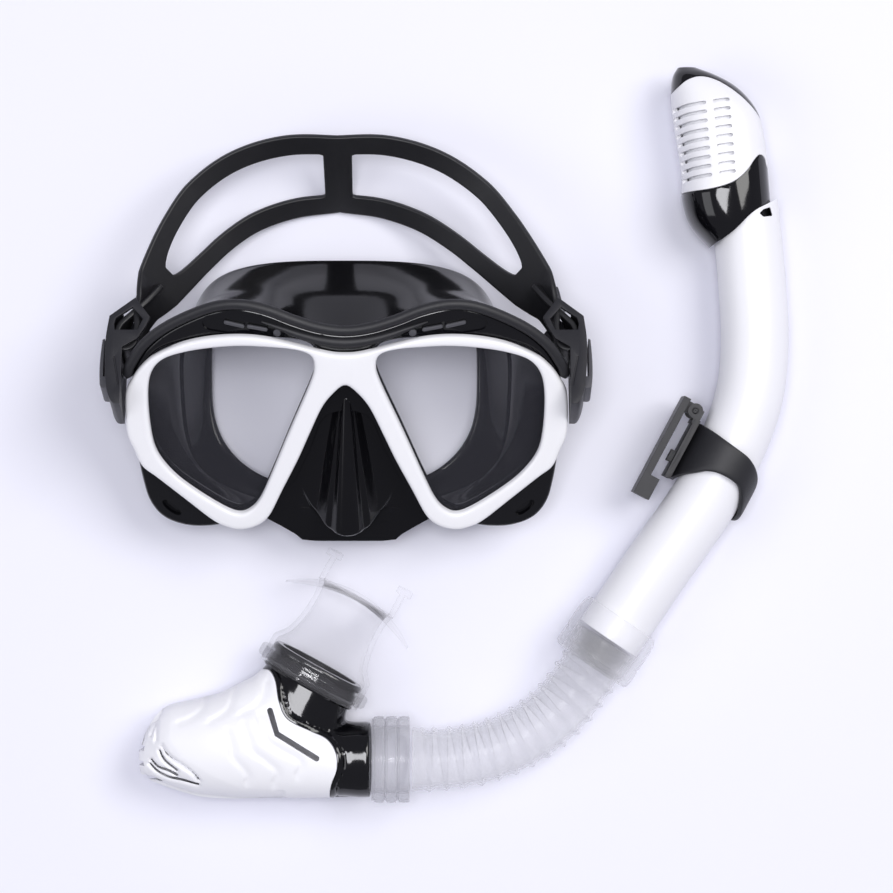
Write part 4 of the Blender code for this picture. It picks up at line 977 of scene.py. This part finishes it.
def snorkel_lower():
    """The smoke-black housing and the white purge cover, parted along a wavy seam."""
    skin = lower_body()
    inside = cavity(skin, 2.1)
    skin = engraved(skin)
    twin, inside_twin = linked("twin", skin.data.copy()), linked("inside_twin", inside.data.copy())
    right = [*seam(5, 0.3), Vector((20, -160)), Vector((20, -60))]
    stub = rod((-29.5, STUB_Y, SNORKEL_Z), (-60, STUB_Y, SNORKEL_Z), 13.4)
    bore = loft([spigot_ring(y, SPIGOT_HALF[0] - 2.4, SPIGOT_HALF[1] - 2.4) for y in (-22, 8)])
    housing = cut(boolean(skin, extruded(right, *THROUGH), "INTERSECT"), inside, stub, bore)
    piece(housing, "housing_shell", SMOKE_GLOSS, "snorkel_lower", "lower_housing", smooth=50)
    w, d = SPIGOT_HALF
    flange = [(-10.4, w - 1.2, d - 1.2), (-10.4, w + 0.5, d + 0.5), (-9.7, w + 1.0, d + 1.0),
              (-9.0, w + 0.4, d + 0.4), (-4.6, w + 0.2, d + 0.2), (-4.2, w - 0.6, d - 0.6),
              (-3.2, w - 0.6, d - 0.6), (-2.9, w + 0.4, d + 0.4), (-2.0, w + 0.8, d + 0.8),
              (-0.8, w + 0.6, d + 0.6), (-0.2, w, d), (-0.2, w - 2.6, d - 2.6), (-10.4, w - 2.6, d - 2.6)]
    rings = [spigot_ring(*section, count=64) for section in flange]
    made = ring_loft(rings)
    piece(made, "spigot_flange", SMOKE_GLOSS, "snorkel_lower")
    left = [*seam(5), Vector((-160, -160)), Vector((-160, -60))]
    drains = [box((-140, low, 12), (-112, low + 2.0, 24)) for low in (-136.5 + 6.2 * k for k in range(3))]
    cover = boolean(twin, extruded(left, *THROUGH), "INTERSECT")
    cover = cut(cover, inside_twin, pill(CHEVRON, 1.2, 24, 60), *drains)
    piece(cover, "purge_shell", WHITE_COVER, "snorkel_lower", "purge_cover", smooth=50)


def mouthpiece():
    """The soft mouthpiece: a sleeve over the spigot, a curved lip guard and two bite tabs."""
    w, d = SPIGOT_HALF
    sections = [(-9.4, w + 2.6, d + 2.4), (-9.0, w + 3.0, d + 2.8), (-4, w + 3.0, d + 2.8),
                (1.5, w + 2.9, d + 2.8), (3.6, w + 1.6, d + 1.8), (7, 18.6, 13.6), (13, 16.8, 11.6),
                (20, 16, 10.5), (27, 16.1, 10.3), (31, 17.2, 10.8)]
    sections = smooth_line(sections, 3)
    sleeve = solidified(open_loft([spigot_ring(*s, count=64) for s in sections]), 2.0)
    turn = spigot_axes()
    guard = []
    for k in range(49):
        t = 2 * k / 48 - 1
        x = 28.5 * t
        bow = 31.5 - 8.5 * t * t
        half = 16.0 * max(0.02, 1 - abs(t) ** 3.2) ** 0.5
        ring = super_ring(20, 1.25 * max(0.35, 1 - t ** 6), half, 3)
        guard.append([turn @ Vector((x, bow + a, b)) for a, b in ring])
    lip = loft(guard)
    bore = loft([spigot_ring(y, 14.4, 8.4) for y in (24, 42)])
    lip = cut(lip, bore)
    for side in (-1, 1):
        for (y0, y1), (x0, x1) in (((30.5, 42), (14.8, 17.4)), ((41.0, 43.6), (12.8, 19.8))):
            ring = super_ring(24, (x1 - x0) / 2, 7.4, 3.4)
            tab = loft([[turn @ Vector((side * (x0 + x1) / 2 + a, y, b)) for a, b in ring] for y in (y0, y1)])
            lip = united(lip, bevelled(tab, 0.4))
    piece(joined(sleeve, lip), "soft_mouthpiece", SHEER_SILICONE, "snorkel_lower", "mouthpiece", smooth=50)
    tie = [(-7.6, 24.2, 18.0), (-7.0, 24.6, 18.4), (-4.0, 24.6, 18.4), (-3.4, 24.2, 18.0), (-3.4, 22.7, 16.7),
           (-7.6, 22.7, 16.7)]
    rings = [spigot_ring(*section, count=64) for section in tie]
    band = ring_loft(rings)
    head = loft([[turn @ Vector((6 + a, y, 17.2 + b)) for a, b in super_ring(20, 3.4, 1.7, 4)]
                 for y in (-8.4, -2.6)])
    band = joined(band, bevelled(head, 0.4))
    piece(band, "mouthpiece_band", SHEER_PLASTIC, "snorkel_lower", "mouthpiece_tie")


def in_plane(points):
    return [Vector((*p, SNORKEL_Z)) for p in points]


def hose_parts():
    """The clear ribbed hose, curved between the two halves, its cuff and its coupling ring."""
    line = respaced(smooth_line(in_plane(HOSE_LINE), 10), 0.55)
    around, pitch = 48, 6.4
    rings, walked = [], 0.0
    for i, point in enumerate(line):
        along = along_at(line, i)
        side = Vector((-along.y, along.x, 0))
        walked += (point - line[i - 1]).length if i else 0.0
        end = min(1.0, min(i, len(line) - 1 - i) * 0.55 / 6)
        ring = []
        for angle in angles_round(around):
            turn = (walked / pitch + angle / (2 * math.pi)) % 1.0
            rib = max(0.0, 1 - abs(turn - 0.5) / 0.26) ** 0.8
            radius = HOSE_R - 1.25 * end + 1.35 * end * rib
            ring.append(point + side * radius * math.cos(angle) + Vector((0, 0, radius * math.sin(angle))))
        rings.append(ring)
    made = dressed(solidified(open_loft(rings), 1.1), "ribbed_hose", CLEAR_SILICONE, SNORKEL_AXES, 50)
    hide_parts("flex_hose")
    start, end = (Vector((x, y, SNORKEL_Z)) + SET_SHIFT for x, y in ((-12, STUB_Y), (62, -86)))
    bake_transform(made)

    before, tip = in_plane(TUBE_LINE[-2:])
    direction = (tip - before).normalized()
    cuff = [(14.5, -10), (14.3, -9), (14.3, 12.4), (14.6, 13.2), (16.4, 13.2), (17.1, 12.6), (17.4, 11),
            (17.5, 5.4), (17.2, 5.0), (17.2, 4.4), (17.5, 4.0), (17.5, -5), (17.1, -7.6), (16.2, -9.6),
            (15.4, -10)]
    piece(turned(cuff, tip, direction), "soft_cuff", CLEAR_SILICONE, "snorkel_upper", "hose_cuff", smooth=50)
    ribs = [(14.0, 0), (14.0, 15.4), (17.2, 15.4)]
    for k in range(3):
        base = 15.0 - 5.1 * k
        ribs += [(17.6, base), (17.75, base - 2.0), (17.5, base - 3.8), (16.7, base - 4.3),
                 (16.7, base - 4.8)]
    ribs += [(17.0, 0.0)]
    ribs = turned(ribs, (-30.6, STUB_Y, SNORKEL_Z), (1, 0, 0))
    piece(ribs, "coupling_ring", CLEAR_PLASTIC, "snorkel_lower", "hose_coupling", smooth=50)


# ---------------------------------------------------------------- the snorkel's upper end
def upper_tube():
    """The white tube, cut aslant where the dry top plugs in, with a small notch beside the cut."""
    line = respaced(smooth_line(in_plane(TUBE_LINE), 10), 3.0)
    outer = []
    for i, point in enumerate(line):
        along = along_at(line, i)
        side = Vector((-along.y, along.x, 0))
        outer.append([point + side * TUBE_R * math.cos(a) + Vector((0, 0, TUBE_R * math.sin(a)))
                      for a in angles_round(64)])
    tube = solidified(open_loft(outer), TUBE_WALL)
    above = smooth_line([(x, y - 0.3) for x, y in COLLAR], 6)
    above += [(160, 105), (160, 140), (90, 140), (90, 75.3)]
    notch = [(126.9, 94.6), (128.6, 96.3), (131.6, 97.4), (132.6, 93.8), (128.6, 93.2)]
    tube = cut(tube, extruded(above, *THROUGH), bevelled(extruded(notch, 20, 50), 0.5))
    piece(bevelled(tube, 0.35, 3, 50), "tube_shell", WHITE_SATIN, "snorkel_upper", "upper_tube", smooth=40)


def dry_skin():
    sections = smooth_line(DRY_TOP, 6)
    rings = [[(middle + a, y, SNORKEL_Z + b) for a, b in super_ring(72, half, deep, 2.4)]
             for y, middle, half, deep in sections]
    return solidified(loft(rings, False, True), 2.0)


RIM_LINE = [(86, 103.2), (99, 103.4), (108, 104.4), (116, 107), (121.5, 111.6), (124.6, 116.0),
            (127.0, 118.2), (129.4, 117.2), (131.4, 113), (140, 109)]
CROWN_LINE = [(86, 140), (92.6, 145), (98, 149.2), (104, 150.6), (111, 148.4), (119, 143), (125, 137.4),
              (129, 132.6), (134, 126)]


def dry_top():
    """The dry top: a black socket plugged into the tube, the white vented cap and the black crown."""
    rim, crown = smooth_line(RIM_LINE, 6), smooth_line(CROWN_LINE, 6)
    collar = smooth_line(COLLAR, 6)
    step = Vector((0, 0.25))
    below = [*rim, (150, 109), (150, 108), *reversed(collar), (80, 75.6), (80, 103.2)]
    above = [*crown, (150, 126), (150, 170), (80, 170), (80, 140)]
    between = [Vector((80, 103.2)) + step, *(p + step for p in rim), Vector((150, 109)) + step,
               Vector((150, 126)) - step, *(p - step for p in reversed(crown)), Vector((80, 140)) - step]
    base = boolean(dry_skin(), extruded(below, *THROUGH), "INTERSECT")
    base = bevelled(base, 0.3, 2, 50)
    piece(base, "socket_shell", SMOKE_GLOSS, "snorkel_upper", "dry_top_socket", smooth=45)
    tube_end, before = in_plane(TUBE_LINE[:2])
    plug_r = TUBE_R - TUBE_WALL - 0.8
    plug = [(plug_r, -20), (plug_r, -6), (plug_r - 1.5, -6), (plug_r - 1.5, -20)]
    piece(turned(plug, tube_end, tube_end - before), "socket_plug", SMOKE_GLOSS, "snorkel_upper")
    cap = boolean(dry_skin(), extruded(between, *THROUGH), "INTERSECT")
    for row in range(9):
        y = 109.6 + 3.66 * row
        x = 106.6 - 0.3 * row
        left = [(x - 13.5, y - 3.4), (x - 10.5, y - 1.6), (x - 6.5, y - 0.6), (x, y + 0.3)]
        right = [(x + 4.2, y + 0.9), (x + 9.6, y + 1.7)]
        cap = cut(cap, pill(left, 0.72, 20, 50), pill(right, 0.72, 26, 50))
    sections = smooth_line([s for s in DRY_TOP if 100 < s[0] < 149], 6)
    rings = [[(middle + a, y, SNORKEL_Z + b) for a, b in super_ring(48, half - 2.6, deep - 2.6, 2.4)]
             for y, middle, half, deep in sections]
    liner = open_loft(rings)
    piece(solidified(liner, 0.7), "vent_liner", WHITE_COVER, "snorkel_upper")
    piece(bevelled(cap, 0.25, 2, 50), "vented_cap", WHITE_COVER, "snorkel_upper", "vent_cap", smooth=45)
    hood = boolean(dry_skin(), extruded(above, *THROUGH), "INTERSECT")
    piece(bevelled(hood, 0.3, 2, 50), "crown_shell", BLACK_GLOSS, "snorkel_upper", "cap_crown", smooth=45,
          slot="smoke_gloss")


# ---------------------------------------------------------------- the keeper
# angle round the tube from its right-hand side, lower edge and upper edge of the band there
KEEPER_BAND = [(186, -12.0, 13.8), (165, -10.6, 13.6), (130, -6, 12.8), (110, -2.6, 12), (90, -1.2, 11.2),
               (68, -1.4, 10.3), (53, -2.6, 8.9), (40, -5.6, 7.2), (25, -9.6, 5.0), (8, -12.6, 2.2),
               (-15, -14.8, -1), (-45, -15.6, -4), (-70, -14.5, -6)]
BARREL = Vector((-20.6, 17.0, 0))           # the gate's hinge in the keeper's own axes


def keeper():
    """The keeper's flowing band, which grips the tube, and its plate with the gate's hinge ears."""
    rings = []
    for angle, low, high in smooth_line(KEEPER_BAND, 6):
        c, s = math.cos(math.radians(angle)), math.sin(math.radians(angle))
        ring = []
        for a, b in super_ring(24, 1.2, (high - low) / 2, 5):
            radius = TUBE_R + 1.75 + a
            ring.append((radius * c, (high + low) / 2 + b, radius * s))
        rings.append(ring)
    band = loft(rings)
    depth = Vector((0, 0, 9))
    ears = united(rod(BARREL - depth, BARREL + depth, 3.1, 40), box((-20, 12, -9), (-17.2, 18.4, 9)))
    ears = cut(ears, box((-28, 13.2, -6.3), (-17, 24, 6.3)))
    plate = box((-19.4, -12.2, -9.2), (-16.8, 14.2, 9.2))
    plate = united(plate, box((-21.4, -6, -3.6), (-19, -1, 3.6)), ears)
    plate = cut(plate, rod(BARREL - 1.6 * depth, BARREL + 1.6 * depth, 1.3),
                pill([(-18, -8.5), (-18, -2.5)], 0.55, 9.0, 12))
    piece(joined(band, bevelled(plate, 0.4)), "keeper_band", BLACK_MATTE, "keeper", "keeper_ring", smooth=50)


def cad_nodes():
    """Materials and rounded edges for the CAD nodes that stay in sight."""
    looks = {"keeper_gate": (BLACK_MATTE, 0.4), "keeper_pin": (BLACK_GLOSS, 0.15),
             "float": (WHITE_SATIN, 0.3), "valve_flap": (GREY_PLASTIC, 0.2),
             "flap_seal": (BLACK_SILICONE, 0.2), "flap_pin": (STEEL, 0.1), "purge_seat": (GREY_PLASTIC, 0.2),
             "purge_valve": (BLACK_SILICONE, 0.1)}
    for word in ("left", "right"):
        looks["pivot_pin_" + word] = (STEEL, 0.25)
        looks["lever_pin_" + word] = (STEEL, 0.1)
    for name, (mat, width) in looks.items():
        obj = frame["nodes"][name]
        obj.data.materials.clear()
        obj.data.materials.append(mat)
        modify(obj, "WELD", merge_threshold=0.01 * MM)
        modify(obj, "DECIMATE", decimate_type="DISSOLVE", angle_limit=math.radians(1))
        modify(obj, "BEVEL", width=width * MM, segments=2, limit_method="ANGLE", angle_limit=math.radians(35))


# ---------------------------------------------------------------- floor, lights and camera
FLOOR_HALF = 4000
CAMERA_HEIGHT = 1.190                       # metres over the floor


def studio():
    """A plain pale floor, a soft sky and three soft lights."""
    mat = bpy.data.materials.new("backdrop")
    mat.use_nodes = True
    tree = mat.node_tree
    shader = tree.nodes["Principled BSDF"]
    shader.inputs["Base Color"].default_value = (0.84, 0.84, 0.92, 1)
    shader.inputs["Roughness"].default_value = 0.9
    shader.inputs["Specular IOR Level"].default_value = 0.1
    corners = [(FLOOR_HALF * x, FLOOR_HALF * y, 0) for x, y in ((-1, -1), (1, -1), (1, 1), (-1, 1))]
    floor = new_object("floor", corners, [(0, 1, 2, 3)])
    floor.location.z = -0.0002
    floor.data.materials.append(mat)
    world = bpy.data.worlds.new("studio")
    world.use_nodes = True
    sky = world.node_tree.nodes["Background"].inputs
    sky["Color"].default_value = (0.86, 0.86, 1.0, 1)
    sky["Strength"].default_value = 0.3
    bpy.context.scene.world = world
    for name, place, size, power, colour in (
            ("key", (0.85, 0.5, 1.5), (0.9, 0.9), 15.5, (1.0, 0.99, 0.975)),
            ("top", (-0.1, 0.05, 1.9), (0.6, 0.6), 15.5, (0.96, 0.96, 1.0)),
            ("fill", (-1.1, -0.2, 1.2), (0.8, 0.8), 4.0, (0.95, 0.96, 1.0))):
        light = bpy.data.lights.new(name, "AREA")
        light.shape = "RECTANGLE"
        light.size, light.size_y = size
        light.energy = power
        light.color = colour
        lamp = linked(name, light)
        lamp.location = place
        lamp.rotation_euler = (Vector((0, 0, 0.02)) - lamp.location).to_track_quat("-Z", "Y").to_euler()


def camera():
    """Looks straight down on the set from above its middle."""
    data = bpy.data.cameras.new("camera")
    data.sensor_width = 36.0
    data.lens = 115.2
    data.clip_start = 0.05
    made = linked("camera", data)
    made.location = (SET_SHIFT.x * MM, SET_SHIFT.y * MM, CAMERA_HEIGHT)
    bpy.context.scene.camera = made


camera()
front_bezel()
mask_windows()
brow_trim()
mask_frame()
mask_skirt()
nose_pocket()
head_strap()
for buckle_side, buckle_word in ((1, "left"), (-1, "right")):
    buckle(buckle_side, buckle_word)
snorkel_lower()
mouthpiece()
hose_parts()
upper_tube()
dry_top()
keeper()
cad_nodes()
studio()
bpy.context.scene.view_settings.view_transform = "Standard"
